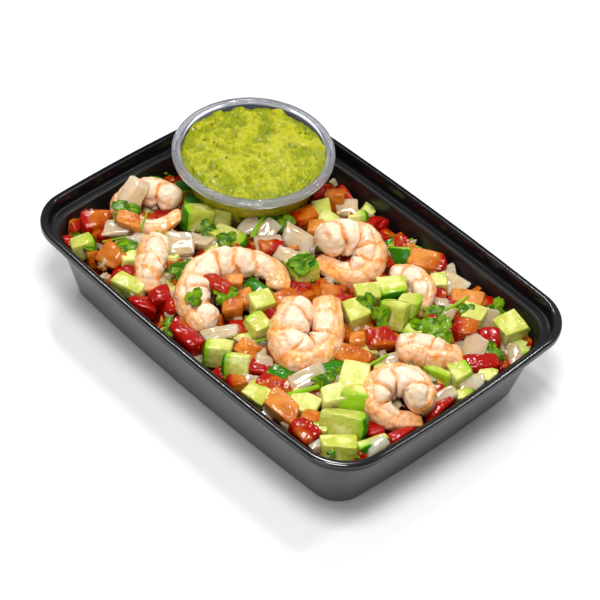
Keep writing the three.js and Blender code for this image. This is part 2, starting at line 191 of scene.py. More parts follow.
class ProduceSettings(PropertyGroup):
    """Colours of the cut vegetables and herbs."""

    cucumber: colour("Cucumber", "Cucumber flesh", 0.53, 0.51, 0.06)
    cucumber_core: colour("Cucumber core", "Seed side of the flesh", 0.77, 0.7, 0.25)
    cucumber_edge: colour("Cucumber edge", "Flesh under the skin", 0.3, 0.52, 0.012)
    cucumber_wet: colour("Wet cucumber", "Watery parts of the flesh", 0.76, 0.78, 0.27)
    cucumber_skin: colour("Cucumber skin", "Cucumber skin", 0.012, 0.11, 0.002)
    cucumber_light: colour("Light skin", "Lighter parts of the skin", 0.04, 0.24, 0.003)
    tomato_red: colour("Red tomato", "Flesh of the reddest pieces", 0.36, 0.005, 0.0003)
    tomato: colour("Tomato", "Tomato flesh", 0.48, 0.105, 0.001)
    tomato_pale: colour("Pale tomato", "Inner tomato flesh", 0.68, 0.25, 0.04)
    tomato_skin: colour("Tomato skin", "Tomato skin", 0.36, 0.004, 0.0003)
    onion: colour("Onion", "Onion flesh", 1.0, 0.9, 0.68)
    onion_clear: colour("Clear onion", "Glassy parts of the onion", 0.92, 0.69, 0.37)
    onion_blush: colour("Onion blush", "Juice-stained onion", 0.93, 0.54, 0.33)
    onion_stripe: colour("Onion stripes", "Pale stripes along the onion", 0.95, 0.86, 0.68)
    # Painted sheen: the onion is painted paler where it is seen at a grazing angle.
    onion_painted_sheen: colour("Onion edge", "Onion seen at a grazing angle", 1.0, 0.95, 0.84)
    leaf: colour("Leaf", "Cilantro leaf", 0.035, 0.11, 0.0005)
    leaf_light: colour("Light leaf", "Lighter blotches of the leaf", 0.19, 0.34, 0.002)
    leaf_pale: colour("Pale leaf", "Leaf veins and stems", 0.26, 0.48, 0.012)
    seed_gold: colour("Seeds", "Tomato seeds", 0.76, 0.44, 0.1)
    seed_pale: colour("Pale seeds", "Palest tomato seeds", 0.8, 0.66, 0.36)


class ShrimpSettings(PropertyGroup):
    """Sizes and colours of the shrimps."""

    segment: length("Segment", "Length of one segment of a shrimp's body", 10.5)
    pillow: FloatProperty(
        name="Pillow", description="How far the lobes on the belly side swell, as a share of the radius",
        default=0.36, subtype="FACTOR", min=0, max=1,
    )
    flesh: colour("Flesh", "Pale cooked flesh", 0.95, 0.78, 0.59)
    peach: colour("Peach", "Soft tint of the back", 0.95, 0.55, 0.29)
    blush: colour("Blush", "Orange patches of the back", 0.93, 0.4, 0.08)
    vein: colour("Veins", "Orange lines between the segments", 0.82, 0.21, 0.012)


class StageSettings(PropertyGroup):
    """Floor and lights."""

    floor: colour("Floor", "Colour of the floor", 0.95, 0.95, 0.95)
    sky: FloatProperty(name="Sky", description="Strength of the surrounding light", default=0.26, min=0)
    key: power("Key", "Power of the overhead softbox", 6.0)
    fill: power("Fill", "Power of the front softbox", 2.6)
    glint: power("Glint", "Power of the strip lamp behind", 3.0)
    sparkle: power("Sparkle", "Power of each tiny lamp that the wet food mirrors", 1.1)


class DishSettings(PropertyGroup):
    """All settings of the dish."""

    tray: PointerProperty(name="Tray", description="The black tray", type=TraySettings)
    cup: PointerProperty(name="Cup", description="The cup and its guacamole", type=CupSettings)
    heap: PointerProperty(name="Heap", description="Form of the salad", type=HeapSettings)
    produce: PointerProperty(name="Produce", description="Vegetables and herbs", type=ProduceSettings)
    shrimp: PointerProperty(name="Shrimps", description="The shrimps", type=ShrimpSettings)
    stage: PointerProperty(name="Stage", description="Floor and lights", type=StageSettings)


def settings():
    return bpy.context.scene.dish


# ---- Shader nodes ------------------------------------------------------------------------------


class Nodes:
    """Adds nodes to one material or node group and joins them. Most calls give an output."""

    def __init__(self, tree):
        self.tree = tree

    def feed(self, socket, value):
        """Links an output to a socket, or sets the socket's own value."""
        if isinstance(value, bpy.types.NodeSocket):
            self.tree.links.new(value, socket)
        elif socket.type == "RGBA" and len(value) == 3:
            socket.default_value = (*value, 1)
        else:
            socket.default_value = value

    def add(self, kind, sockets=None, **properties):
        """The node itself, for what the calls below don't cover."""
        made = self.tree.nodes.new("ShaderNode" + kind)
        for name, value in properties.items():
            setattr(made, name, value)
        for name, value in (sockets or {}).items():
            self.feed(made.inputs[name], value)
        return made

    def attribute(self, name, output="Fac"):
        return self.add("Attribute", attribute_name=name).outputs[output]

    def place(self):
        """Object coordinates, in metres."""
        return self.add("TexCoord").outputs["Object"]

    def mix(self, factor, first, second, blend="MIX"):
        made = self.add("Mix", data_type="RGBA", blend_type=blend, clamp_factor=True)
        for index, value in ((0, factor), (6, first), (7, second)):
            self.feed(made.inputs[index], value)
        return made.outputs[2]

    def math(self, operation, first, second=0.0, clamp=False):
        made = self.add("Math", operation=operation, use_clamp=clamp)
        self.feed(made.inputs[0], first)
        self.feed(made.inputs[1], second)
        return made.outputs[0]

    def plus(self, first, second, clamp=False):
        return self.math("ADD", first, second, clamp)

    def minus(self, first, second):
        return self.math("SUBTRACT", first, second)

    def times(self, first, second):
        return self.math("MULTIPLY", first, second)

    def larger(self, first, second):
        return self.math("MAXIMUM", first, second)

    def remap(self, value, low, high, to_low=0.0, to_high=1.0):
        """A value from low to high, turned smoothly into one from to_low to to_high."""
        sockets = {"Value": value, "From Min": low, "From Max": high}
        sockets.update({"To Min": to_low, "To Max": to_high})
        return self.add("MapRange", sockets, interpolation_type="SMOOTHSTEP").outputs["Result"]

    def noise(self, vector, scale, detail=2.0, warp=0.0):
        sockets = {"Vector": vector, "Scale": scale, "Detail": detail, "Distortion": warp}
        return self.add("TexNoise", sockets).outputs["Fac"]

    def cells(self, vector, scale, output="Distance"):
        return self.add("TexVoronoi", {"Vector": vector, "Scale": scale}).outputs[output]

    def bump(self, relief, distance, strength=1.0):
        sockets = {"Strength": strength, "Distance": distance, "Height": relief}
        return self.add("Bump", sockets).outputs["Normal"]

    def stretch(self, vector, scales):
        """Coordinates whose pattern is drawn out where a scale is small."""
        return self.add("Mapping", {"Vector": vector, "Scale": scales}).outputs["Vector"]

    def group(self, tree, **sockets):
        return self.add("Group", sockets, node_tree=tree).outputs


def node_group(name, inputs, outputs):
    """An empty node group with named float or vector sockets, and its input and output nodes."""
    tree = bpy.data.node_groups.new(name, "ShaderNodeTree")
    for label, kind in inputs:
        tree.interface.new_socket(name=label, in_out="INPUT", socket_type="NodeSocket" + kind)
    for label, kind in outputs:
        tree.interface.new_socket(name=label, in_out="OUTPUT", socket_type="NodeSocket" + kind)
    return tree, tree.nodes.new("NodeGroupInput"), tree.nodes.new("NodeGroupOutput")


def wet_surface_group():
    """Relief of a cut surface, the livelier relief of the juice on it, and how its gloss varies."""
    name = "wet_surface"
    if name in bpy.data.node_groups:
        return bpy.data.node_groups[name]
    tree, given, result = node_group(
        name,
        [("Vector", "Vector"), ("Scale", "Float"), ("Height", "Float"), ("Gloss", "Float")],
        [("Normal", "Vector"), ("Film Normal", "Vector"), ("Roughness", "Float")],
    )
    nodes = Nodes(tree)
    vector, scale, height = (given.outputs[name] for name in ("Vector", "Scale", "Height"))
    coarse = nodes.noise(vector, scale, 0.6)
    nodes.feed(result.inputs["Normal"], nodes.bump(coarse, height))
    fine = nodes.noise(vector, nodes.times(scale, 2.7), 0.0)
    drops = nodes.plus(coarse, nodes.times(fine, 0.15))
    nodes.feed(result.inputs["Film Normal"], nodes.bump(drops, height))
    spread = nodes.remap(coarse, 0.3, 0.7, -0.06, 0.12)
    nodes.feed(result.inputs["Roughness"], nodes.plus(given.outputs["Gloss"], spread, clamp=True))
    return tree


def vein_group():
    """Thin wandering lines, as one mask."""
    name = "veins"
    if name in bpy.data.node_groups:
        return bpy.data.node_groups[name]
    tree, given, result = node_group(
        name, [("Vector", "Vector"), ("Scale", "Float"), ("Width", "Float")], [("Mask", "Float")]
    )
    nodes = Nodes(tree)
    field = nodes.noise(given.outputs["Vector"], given.outputs["Scale"], 2.0, 0.8)
    away = nodes.math("ABSOLUTE", nodes.minus(field, 0.5))
    lines = nodes.remap(away, 0.0, given.outputs["Width"], 1.0, 0.0)
    nodes.feed(result.inputs["Mask"], lines)
    return tree


class Surface(Nodes):
    """A new material: its nodes, and the Principled shader that they feed."""

    def __init__(self, name):
        self.material = bpy.data.materials.new(name)
        self.material.use_nodes = True
        super().__init__(self.material.node_tree)
        self.shader = next(node for node in self.tree.nodes if node.type == "BSDF_PRINCIPLED")

    def dress(self, **sockets):
        """Feeds the shader's sockets, with _ for each space in their names."""
        for name, value in sockets.items():
            self.feed(self.shader.inputs[name.replace("_", " ")], value)

    def masks(self, *names):
        """Masks of the piece; local is a point of the unplaced piece, in millimetres."""
        return [self.attribute(name, "Vector" if name == "local" else "Fac") for name in names]

    def soften(self, weight, *radii):
        """Lets light into moist flesh; the radii for red, green and blue are in millimetres."""
        self.dress(Subsurface_Weight=weight, Subsurface_Scale=MM, Subsurface_Radius=radii)

    def wet(self, vector, scale, height, gloss, coat=0.65):
        """A cut surface's relief, under a thin coat of juice with its own."""
        sockets = {"Vector": vector, "Scale": scale, "Height": height, "Gloss": gloss}
        given = self.group(wet_surface_group(), **sockets)
        self.dress(Normal=given["Normal"], Roughness=given["Roughness"], Specular_IOR_Level=0.03)
        self.dress(Coat_Normal=given["Film Normal"], Coat_Weight=coat, Coat_IOR=1.5, Coat_Roughness=0.02)


# ---- Materials ---------------------------------------------------------------------------------

# The guacamole's flecks: the darkest, then the tones from which the next colours start.
FLECK_DARK = (0.1, 0.19, 0.004)
FLECK_COLOURS = ((0.4, (0.25, 0.33, 0.006)), (0.82, (0.42, 0.16, 0.02)), (0.94, (0.7, 0.68, 0.2)))


def black_plastic():
    """Glossy within and on the rim; outside it mirrors more, and a lighter grey painted on it stands in
    for the floor's reflection.
    """
    tray, top = settings().tray, TRAY_HIGH.z
    nodes = Surface("tray_black")
    place = nodes.place()
    parts = nodes.add("SeparateXYZ", {"Vector": place}).outputs
    height, forward = parts["Z"], nodes.minus(parts["X"], parts["Y"])
    outside = nodes.attribute("depth")
    clouds = nodes.noise(place, 60.0, 3.0)
    dull = [min(1.0, part * 1.5) for part in tray.black]
    # Painted reflection: the outer wall is painted a lighter grey, for the bright floor that it mirrors.
    nodes.dress(Base_Color=nodes.mix(outside, nodes.mix(clouds, tray.black, dull), tray.outside_reflection))
    polish = nodes.remap(height, top - 8 * MM, top - 3 * MM, 0.3, 0.08)
    nodes.dress(Roughness=nodes.plus(polish, nodes.remap(clouds, 0.3, 0.7, 0.0, 0.06)))
    nodes.dress(Normal=nodes.bump(nodes.noise(place, 900.0, 2.0), 0.015 * MM, 0.35))
    # The IOR sets how much it mirrors: most along the ledge's inner edge and the front rim.
    inner = nodes.remap(height, top - 9.5 * MM, top - 8 * MM, 1.6, 1.32)
    off_edge = nodes.math("ABSOLUTE", nodes.minus(height, top - 8.1 * MM))
    inner = nodes.plus(inner, nodes.remap(off_edge, 0.2 * MM, 0.6 * MM, 0.6, 0.0))
    on_rim = nodes.remap(height, top - 2 * MM, top - MM)
    inner = nodes.plus(inner, nodes.times(on_rim, nodes.remap(forward, -0.1, 0.03, -0.1, 0.35)))
    outer = nodes.remap(forward, 0.13, 0.185, 2.1, 1.4)
    nodes.dress(IOR=nodes.plus(inner, nodes.times(outside, nodes.minus(outer, inner))))
    return nodes.material


def clear_plastic():
    """Clear, milkier in the thick rim, with painted shade: a dark band inside the rim, where its front
    is seen, for the dark seen through it.
    """
    cup = settings().cup
    nodes = Surface("cup_clear")
    haze = nodes.noise(nodes.place(), 140.0, 2.0)
    rim, band = nodes.masks("height", "crease")
    # The band is painted shade, dark and less clear, on the inner wall's front faces only.
    behind = nodes.add("NewGeometry").outputs["Backfacing"]
    band = nodes.times(band, nodes.minus(1.0, behind))
    clearness = nodes.remap(rim, 0.0, 1.0, 1.0, 0.85)
    clearness = nodes.times(clearness, nodes.remap(band, 0.0, 1.0, 1.0, 0.35))
    tone = nodes.mix(band, nodes.mix(rim, cup.clear, cup.grey), cup.shade)
    nodes.dress(Base_Color=tone, Transmission_Weight=clearness, IOR=1.4)
    nodes.dress(Roughness=nodes.remap(haze, 0.3, 0.7, 0.03, 0.08))
    nodes.dress(Normal=nodes.bump(haze, 0.05 * MM, 0.3))
    return nodes.material


def guacamole_flesh():
    cup = settings().cup
    nodes = Surface("guacamole")
    place = nodes.place()
    height, side = nodes.masks("height", "depth")
    patches = nodes.noise(place, 120.0, 4.0)
    tone = nodes.mix(nodes.remap(patches, 0.34, 0.64, 0.2, 1.0), cup.deep_and_shade, cup.green)
    # Painted light and shade by height: paler on the tops of the lumps, darker lower down.
    tone = nodes.mix(nodes.remap(height, 0.5, 1.0, 0.0, 0.75), tone, cup.pale)
    tone = nodes.mix(nodes.remap(height, 0.1, 0.6, 0.6, 0.0), tone, cup.deep_and_shade)
    tone = nodes.mix(nodes.remap(nodes.cells(place, 320.0), 0.04, 0.18, 0.8, 0.0), tone, cup.chunk)
    browned = nodes.remap(nodes.noise(place, 110.0, 2.0, 0.8), 0.64, 0.72, 0.0, 0.55)
    tone = nodes.mix(browned, tone, cup.browned)
    # The side is painted lighter and yellower: painted light where it lies in shade behind the cup wall.
    nodes.dress(Base_Color=nodes.mix(side, tone, cup.side), IOR=1.4)
    nodes.wet(place, 620.0, 1.4 * MM, 0.3, coat=0.6)
    film = nodes.group(wet_surface_group(), Vector=place, Scale=360.0, Height=0.8 * MM, Gloss=0.0)
    nodes.dress(Coat_Normal=film["Film Normal"])
    nodes.soften(0.08, 1.0, 0.9, 0.1)
    return nodes.material


def fleck_skin():
    """Herb, tomato and onion flecks, by each fleck's tone."""
    nodes = Surface("flecks")
    tone, base = nodes.attribute("tone"), FLECK_DARK
    for start, shade in FLECK_COLOURS:
        base = nodes.mix(nodes.remap(tone, start, start + 0.02), base, shade)
    nodes.dress(Base_Color=base)
    nodes.wet(nodes.place(), 900.0, 0.2 * MM, 0.3)
    return nodes.material


def juicy_core():
    produce = settings().produce
    nodes = Surface("juicy_core")
    place = nodes.place()
    red = [part * 0.5 for part in produce.tomato_red]
    orange = [part * 0.6 for part in produce.tomato]
    mash = nodes.noise(place, 160.0, 3.0)
    tone = nodes.mix(nodes.remap(mash, 0.35, 0.7), settings().heap.juice, red)
    nodes.dress(Base_Color=nodes.mix(nodes.remap(mash, 0.6, 0.75, 0.0, 0.6), tone, orange))
    nodes.wet(place, 260.0, 1.2 * MM, 0.16)
    nodes.soften(0.15, 2.0, 0.5, 0.2)
    return nodes.material


def shrimp_flesh():
    """Pale flesh, warmer on the back and in the creases, with orange patches and thin lines."""
    shrimp = settings().shrimp
    nodes = Surface("shrimp")
    place = nodes.place()
    crease, back, tail = nodes.masks("crease", "back", "tail")
    patches = nodes.noise(place, 150.0, 3.0, 0.6)
    near_crease = nodes.remap(crease, 0.05, 0.6, 0.0, 0.5)
    warmth = nodes.larger(nodes.remap(back, 0.0, 0.9, 0.05, 0.7), near_crease)
    tone = nodes.mix(warmth, shrimp.flesh, shrimp.peach)
    blush = nodes.times(nodes.remap(patches, 0.4, 0.66, 0.1), nodes.remap(back, 0.0, 0.7, 0.2, 0.9))
    tail_blush = nodes.times(tail, nodes.remap(patches, 0.35, 0.55, 0.45, 0.85))
    in_crease = nodes.remap(crease, 0.3, 0.98)
    crease_blush = nodes.times(in_crease, nodes.remap(patches, 0.35, 0.6, 0.12, 0.75))
    tone = nodes.mix(nodes.larger(nodes.larger(blush, tail_blush), crease_blush), tone, shrimp.blush)
    deepest = nodes.remap(crease, 0.72, 0.98)
    lines = nodes.times(deepest, nodes.remap(patches, 0.35, 0.65, 0.0, 0.75))
    streaks = nodes.group(vein_group(), Vector=place, Scale=110.0, Width=0.03)["Mask"]
    lines = nodes.larger(lines, nodes.times(streaks, nodes.remap(back, 0.0, 0.9, 0.12, 0.6)))
    fine_streaks = nodes.group(vein_group(), Vector=place, Scale=260.0, Width=0.035)["Mask"]
    near_crease = nodes.remap(crease, 0.15, 0.7, 0.0, 0.75)
    near = nodes.larger(nodes.remap(back, 0.3, 1.0, 0.05, 0.4), near_crease)
    lines = nodes.larger(lines, nodes.times(fine_streaks, near))
    nodes.dress(Base_Color=nodes.mix(lines, tone, shrimp.vein), IOR=1.42)
    nodes.wet(place, 340.0, 0.9 * MM, 0.3, coat=0.9)
    nodes.soften(0.22, 1.6, 0.9, 0.5)
    return nodes.material


def cucumber_flesh():
    produce = settings().produce
    nodes = Surface("cucumber")
    local, depth, tone = nodes.masks("local", "depth", "tone")
    wander = nodes.times(nodes.minus(nodes.noise(local, 0.35, 2.0), 0.5), 1.6)
    flesh = nodes.mix(tone, produce.cucumber, produce.cucumber_core)
    fibres = nodes.remap(nodes.noise(local, 0.5, 3.0, 1.2), 0.35, 0.65, 0.0, 0.45)
    flesh = nodes.mix(fibres, flesh, produce.cucumber_edge)
    watery = nodes.remap(nodes.noise(local, 0.13, 2.0), 0.44, 0.62, 0.0, 0.8)
    flesh = nodes.mix(watery, flesh, produce.cucumber_wet)
    under_skin = nodes.remap(nodes.plus(depth, wander), 0.6, 4.2)
    flesh = nodes.mix(under_skin, produce.cucumber_edge, flesh)
    skin = nodes.mix(nodes.noise(local, 0.8, 3.0), produce.cucumber_skin, produce.cucumber_light)
    nodes.dress(Base_Color=nodes.mix(nodes.remap(depth, 0.15, 0.75), skin, flesh))
    nodes.wet(local, 0.36, 0.65 * MM, 0.3)
    nodes.soften(0.2, 1.0, 1.1, 0.2)
    return nodes.material


def tomato_flesh():
    produce = settings().produce
    nodes = Surface("tomato")
    local, depth, tone = nodes.masks("local", "depth", "tone")
    patches = nodes.noise(local, 0.16, 1.0, 0.5)
    ripe = nodes.plus(tone, nodes.remap(patches, 0.3, 0.7, -0.2, 0.18))
    ripe = nodes.plus(ripe, nodes.remap(depth, 1.0, 6.0, -0.35, 0.06))
    flesh = nodes.mix(nodes.remap(ripe, 0.1, 0.5), produce.tomato_red, produce.tomato)
    flesh = nodes.mix(nodes.remap(ripe, 0.5, 1.0), flesh, produce.tomato_pale)
    specks = nodes.remap(nodes.cells(local, 0.42), 0.1, 0.26, 1.0, 0.0)
    specks = nodes.times(specks, nodes.remap(nodes.noise(local, 0.2, 0.0), 0.45, 0.55))
    flesh = nodes.mix(nodes.times(specks, 0.7), flesh, produce.seed_gold)
    nodes.dress(Base_Color=nodes.mix(nodes.remap(depth, 0.5, 2.0), produce.tomato_skin, flesh))
    nodes.wet(local, 0.3, 0.85 * MM, 0.24)
    nodes.soften(0.2, 1.6, 0.4, 0.05)
    return nodes.material


def onion_flesh():
    """Half clear, with glassy patches, pale stripes along the layers, and a painted sheen that makes it
    paler where it is seen at a grazing angle.
    """
    produce = settings().produce
    nodes = Surface("onion")
    local, tone = nodes.masks("local", "tone")
    tone = nodes.mix(nodes.times(tone, 0.8), produce.onion, produce.onion_blush)
    glassy = nodes.remap(nodes.noise(local, 0.13, 0.0, 0.4), 0.38, 0.6, 0.0, 0.8)
    tone = nodes.mix(glassy, tone, produce.onion_clear)
    along = nodes.stretch(local, (0.06, 0.7, 0.3))
    stripes = nodes.remap(nodes.noise(along, 0.8, 0.0), 0.42, 0.6, 0.0, 0.25)
    tone = nodes.mix(stripes, tone, produce.onion_stripe)
    # Painted sheen: paler where the surface is seen at a grazing angle.
    grazing = nodes.add("LayerWeight", {"Blend": 0.4}).outputs["Facing"]
    tone = nodes.mix(nodes.remap(grazing, 0.25, 0.85, 0.0, 0.75), tone, produce.onion_painted_sheen)
    nodes.dress(Base_Color=tone, Transmission_Weight=0.5, IOR=1.25)
    nodes.wet(nodes.stretch(local, (0.2, 1.0, 0.6)), 0.36, 0.55 * MM, 0.16, coat=1.0)
    nodes.soften(0.55, 3.0, 2.4, 1.8)
    return nodes.material


def herb_green():
    produce = settings().produce
    nodes = Surface("cilantro")
    local, tone, pale = nodes.masks("local", "tone", "depth")
    blotches = nodes.remap(nodes.noise(local, 0.3, 2.0), 0.35, 0.65, -0.3, 0.6)
    light = nodes.plus(nodes.times(tone, 0.5), blotches, clamp=True)
    leaf = nodes.mix(light, produce.leaf, produce.leaf_light)
    nodes.dress(Base_Color=nodes.mix(pale, leaf, produce.leaf_pale))
    nodes.wet(local, 0.7, 0.3 * MM, 0.34, coat=0.4)
    nodes.soften(0.1, 0.5, 1.0, 0.1)
    return nodes.material


def seed_gloss():
    produce = settings().produce
    nodes = Surface("seeds")
    nodes.dress(Base_Color=nodes.mix(nodes.attribute("tone"), produce.seed_gold, produce.seed_pale))
    nodes.wet(nodes.place(), 900.0, 0.1 * MM, 0.12)
    nodes.soften(0.3, 1.5, 0.8, 0.3)
    return nodes.material


# ---- Shapes ------------------------------------------------------------------------------------

LAYERS = ("depth", "tone", "height", "crease", "back", "tail")


def new_shape():
    """An empty mesh with a value for each of the shader's masks at every vertex."""
    shape = bmesh.new()
    for name in LAYERS:
        shape.verts.layers.float.new(name)
    shape.verts.layers.float_vector.new("local")
    return shape


def mark(shape, name, value):
    """Sets one mask from a function of each vertex."""
    layer = shape.verts.layers.float[name]
    for vert in shape.verts:
        vert[layer] = value(vert)


def lathe(rows, columns, place):
    """A closed mesh of rows from pole to pole. place(row, turn) gives each vertex's position."""
    shape = new_shape()
    profile = [shape.verts.new((1, 0, row)) for row in range(rows)]
    lines = [shape.edges.new(pair) for pair in zip(profile, profile[1:])]
    bmesh.ops.spin(
        shape, geom=profile + lines, cent=(0, 0, 0), axis=(0, 0, 1), angle=FULL_TURN,
        steps=columns, use_merge=True, use_duplicate=False,
    )
    for vert in shape.verts:
        row, turn = round(vert.co.z), math.atan2(vert.co.y, vert.co.x) % FULL_TURN
        vert.co = place(row, turn)
    bmesh.ops.remove_doubles(shape, verts=shape.verts, dist=0.002 * MM)
    bmesh.ops.recalc_face_normals(shape, faces=shape.faces)
    return shape


def arc(centre_x, centre_z, radius_x, radius_z, start, end, steps):
    """Points of a profile on an elliptic arc; angles in degrees."""
    points = []
    for step in range(steps + 1):
        angle = math.radians(start + (end - start) * step / steps)
        points.append((centre_x + radius_x * math.cos(angle), centre_z + radius_z * math.sin(angle)))
    return points


def lerp(low, high, share):
    """The value at a share of the way from low to high."""
    return low + (high - low) * share


def smoothstep(value, low, high):
    """0 up to low, 1 from high on, and smooth between them."""
    share = min(max((value - low) / (high - low), 0.0), 1.0)
    return share * share * (3 - 2 * share)


def bell(value, width):
    """1 at zero, falling away to nothing over about two widths."""
    return math.exp(-((value / width) ** 2))


def lumps(point, pitch, octaves=2):
    """Smooth noise of about -1 to 1 whose lumps are a pitch apart."""
    return noise.fractal(point / pitch, 1.0, 2.0, octaves)


def show(name, shape, material, replaces):
    """Makes a finished piece of a shape, on the root body, in place of CAD nodes."""
    mesh = bpy.data.meshes.new(name)
    for face in shape.faces:
        face.smooth = True
    shape.to_mesh(mesh)
    shape.free()
    mesh.materials.append(material)
    piece = bpy.data.objects.new(name, mesh)
    bpy.context.scene.collection.objects.link(piece)
    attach(piece, "root")
    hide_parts(*replaces)


class Crowd:
    """Gathers many small shapes into one. Each has its own tone and its own local pattern."""

    def __init__(self):
        self.shape = new_shape()
        self.scratch = bpy.data.meshes.new("scratch")

    def add(self, shape, matrix, tone=0.5):
        local = shape.verts.layers.float_vector["local"]
        offset = Vector((tone * 37, tone * 91, tone * 53))
        for vert in shape.verts:
            vert[local] = vert.co / MM + offset
        mark(shape, "tone", lambda vert: tone)
        bmesh.ops.transform(shape, matrix=matrix, verts=shape.verts)
        shape.to_mesh(self.scratch)
        shape.free()
        self.shape.from_mesh(self.scratch)

    def finish(self):
        bpy.data.meshes.remove(self.scratch)
        return self.shape


# ---- Tray --------------------------------------------------------------------------------------

CORNER_STEPS = 14
SIDE_STEPS = 12
TRAY_COLUMNS = 4 * (CORNER_STEPS + SIDE_STEPS)
QUARTERS = ((1, -1), (1, 1), (-1, 1), (-1, -1))


def bow_out(x, y, half_long, half_short):
    """Pushes a point of the plan out by the bow of the sides."""
    bow = settings().tray.side_bow
    along_x = max(1 - (x / half_long) ** 2, 0)
    along_y = max(1 - (y / half_short) ** 2, 0)
    x_share = min(abs(x) / half_long, 1)
    y_share = min(abs(y) / half_short, 1)
    return x + math.copysign(bow * along_y * x_share, x), y + math.copysign(bow * along_x * y_share, y)


def tray_plan(inset):
    """The tray's plan at an inset from the rim, as one point for each column."""
    tray = settings().tray
    half_long = TRAY_HIGH.x - tray.side_bow - inset
    half_short = TRAY_HIGH.y - tray.side_bow - inset
    shrink = (tray.rim_corner - tray.base_corner) / tray.base_inset
    corner = max(tray.rim_corner - shrink * inset, MM)
    middles = [(x * (half_long - corner), y * (half_short - corner)) for x, y in QUARTERS]
    points = []
    for quarter, (x, y) in enumerate(middles):
        for step in range(CORNER_STEPS):
            angle = (quarter - 1 + step / CORNER_STEPS) * math.pi / 2
            points.append((x + corner * math.cos(angle), y + corner * math.sin(angle)))
        angle = quarter * math.pi / 2
        out_x, out_y = corner * math.cos(angle), corner * math.sin(angle)
        next_x, next_y = middles[(quarter + 1) % 4]
        for step in range(SIDE_STEPS):
            share = step / SIDE_STEPS
            points.append((lerp(x, next_x, share) + out_x, lerp(y, next_y, share) + out_y))
    return [bow_out(x, y, half_long, half_short) for x, y in points]


def squared_lathe(rows):
    """A lathe whose round plan is squared off to the tray's. An inset of None is the middle."""
    plans = {inset: tray_plan(inset) for inset, _ in rows if inset is not None}

    def place(row, turn):
        inset, height = rows[row]
        if inset is None:
            return Vector((0, 0, height))
        column = round(turn / FULL_TURN * TRAY_COLUMNS) % TRAY_COLUMNS
        return Vector((*plans[inset][column], height))

    return lathe(len(rows), TRAY_COLUMNS, place)


def tray_profile():
    """The tray's section, from the middle of its underside round the rim to the middle of its floor."""
    tray = settings().tray
    top, ledge = TRAY_HIGH.z, TRAY_HIGH.z - tray.ledge_drop
    skin, foot = tray.skin, 4 * MM
    outer_wall = tray.recess_inset - skin
    ledge_turn = tray.ledge_inset - skin - 1.2 * MM
    under = [(None, 0), (tray.base_inset + 2.2 * foot, 0)]
    under += arc(tray.base_inset + foot, tray.foot_rise, foot, tray.foot_rise, 270, 180, 7)
    under += arc(ledge_turn, ledge - skin - 1.4 * MM, 1.2 * MM, 1.4 * MM, 0, 90, 4)
    under += arc(outer_wall + 1.2 * MM, ledge + 0.4 * MM, 1.2 * MM, 1.2 * MM, 270, 180, 4)
    under += [(outer_wall, top - 1.9 * MM), (outer_wall - 0.4 * MM, top - 1.4 * MM)]
    lip = [(skin + 0.3 * MM, top - 1.4 * MM), (skin, top - 1.7 * MM)]
    lip += [(skin, top - tray.lip_drop + 0.3 * MM)]
    lip += arc(skin / 2, top - tray.lip_drop + 0.35 * MM, skin / 2, 0.35 * MM, 0, -180, 5)
    lip += arc(1.3 * MM, top - 1.3 * MM, 1.3 * MM, 1.3 * MM, 180, 90, 6)
    lip += arc(tray.bead_width - 0.6 * MM, top - 1.2 * MM, 1.2 * MM, 1.2 * MM, 90, 0, 6)
    inside = arc(tray.recess_inset + 1.1 * MM, ledge + 1.1 * MM, 1.1 * MM, 1.1 * MM, 180, 270, 5)
    inside += arc(tray.ledge_inset - 1.1 * MM, ledge - 1.1 * MM, 1.1 * MM, 1.1 * MM, 90, 12, 6)
    floor_turn = tray.base_inset + skin + foot
    inside += arc(floor_turn, tray.foot_rise + skin, foot, tray.foot_rise, 180, 270, 7)
    inside += [(None, skin)]
    return under + lip + inside


def wall_inset(height):
    """Inset of the tray's inner wall at a height below its ledge."""
    tray = settings().tray
    top = (tray.ledge_inset, TRAY_HIGH.z - tray.ledge_drop - 0.9 * MM)
    foot = (tray.base_inset + tray.skin, tray.foot_rise + tray.skin)
    return lerp(foot[0], top[0], (height - foot[1]) / (top[1] - foot[1]))


# ---- Cup and guacamole -------------------------------------------------------------------------

CUP_COLUMNS = 96
CUP_RIM_RADIUS = (CUP_HIGH.x - CUP_LOW.x) / 2
DIP_RINGS = 110
DIP_COLUMNS = 360


def cup_matrix():
    """Places the cup's own frame, with its base at the origin, in the dish."""
    cup = settings().cup
    rim = Vector(((CUP_LOW.x + CUP_HIGH.x) / 2, (CUP_LOW.y + CUP_HIGH.y) / 2, 0))
    rim.z = CUP_HIGH.z - CUP_RIM_RADIUS * math.sin(cup.tilt)
    line = Vector((math.cos(cup.heading), math.sin(cup.heading), 0))
    lean = Quaternion(line, cup.tilt).to_matrix().to_4x4()
    return Matrix.Translation(rim) @ lean @ Matrix.Translation((0, 0, -cup.height))


def cup_wall(height):
    """Outside radius of the cup's wall at a height above its base."""
    cup = settings().cup
    return lerp(cup.base_radius, cup.top_radius, height / (cup.height - 2 * MM))


def round_lathe(rows, columns):
    """A lathe of (radius, height) rows."""

    def place(row, turn):
        radius, height = rows[row]
        return Vector((radius * math.cos(turn), radius * math.sin(turn), height))

    return lathe(len(rows), columns, place)


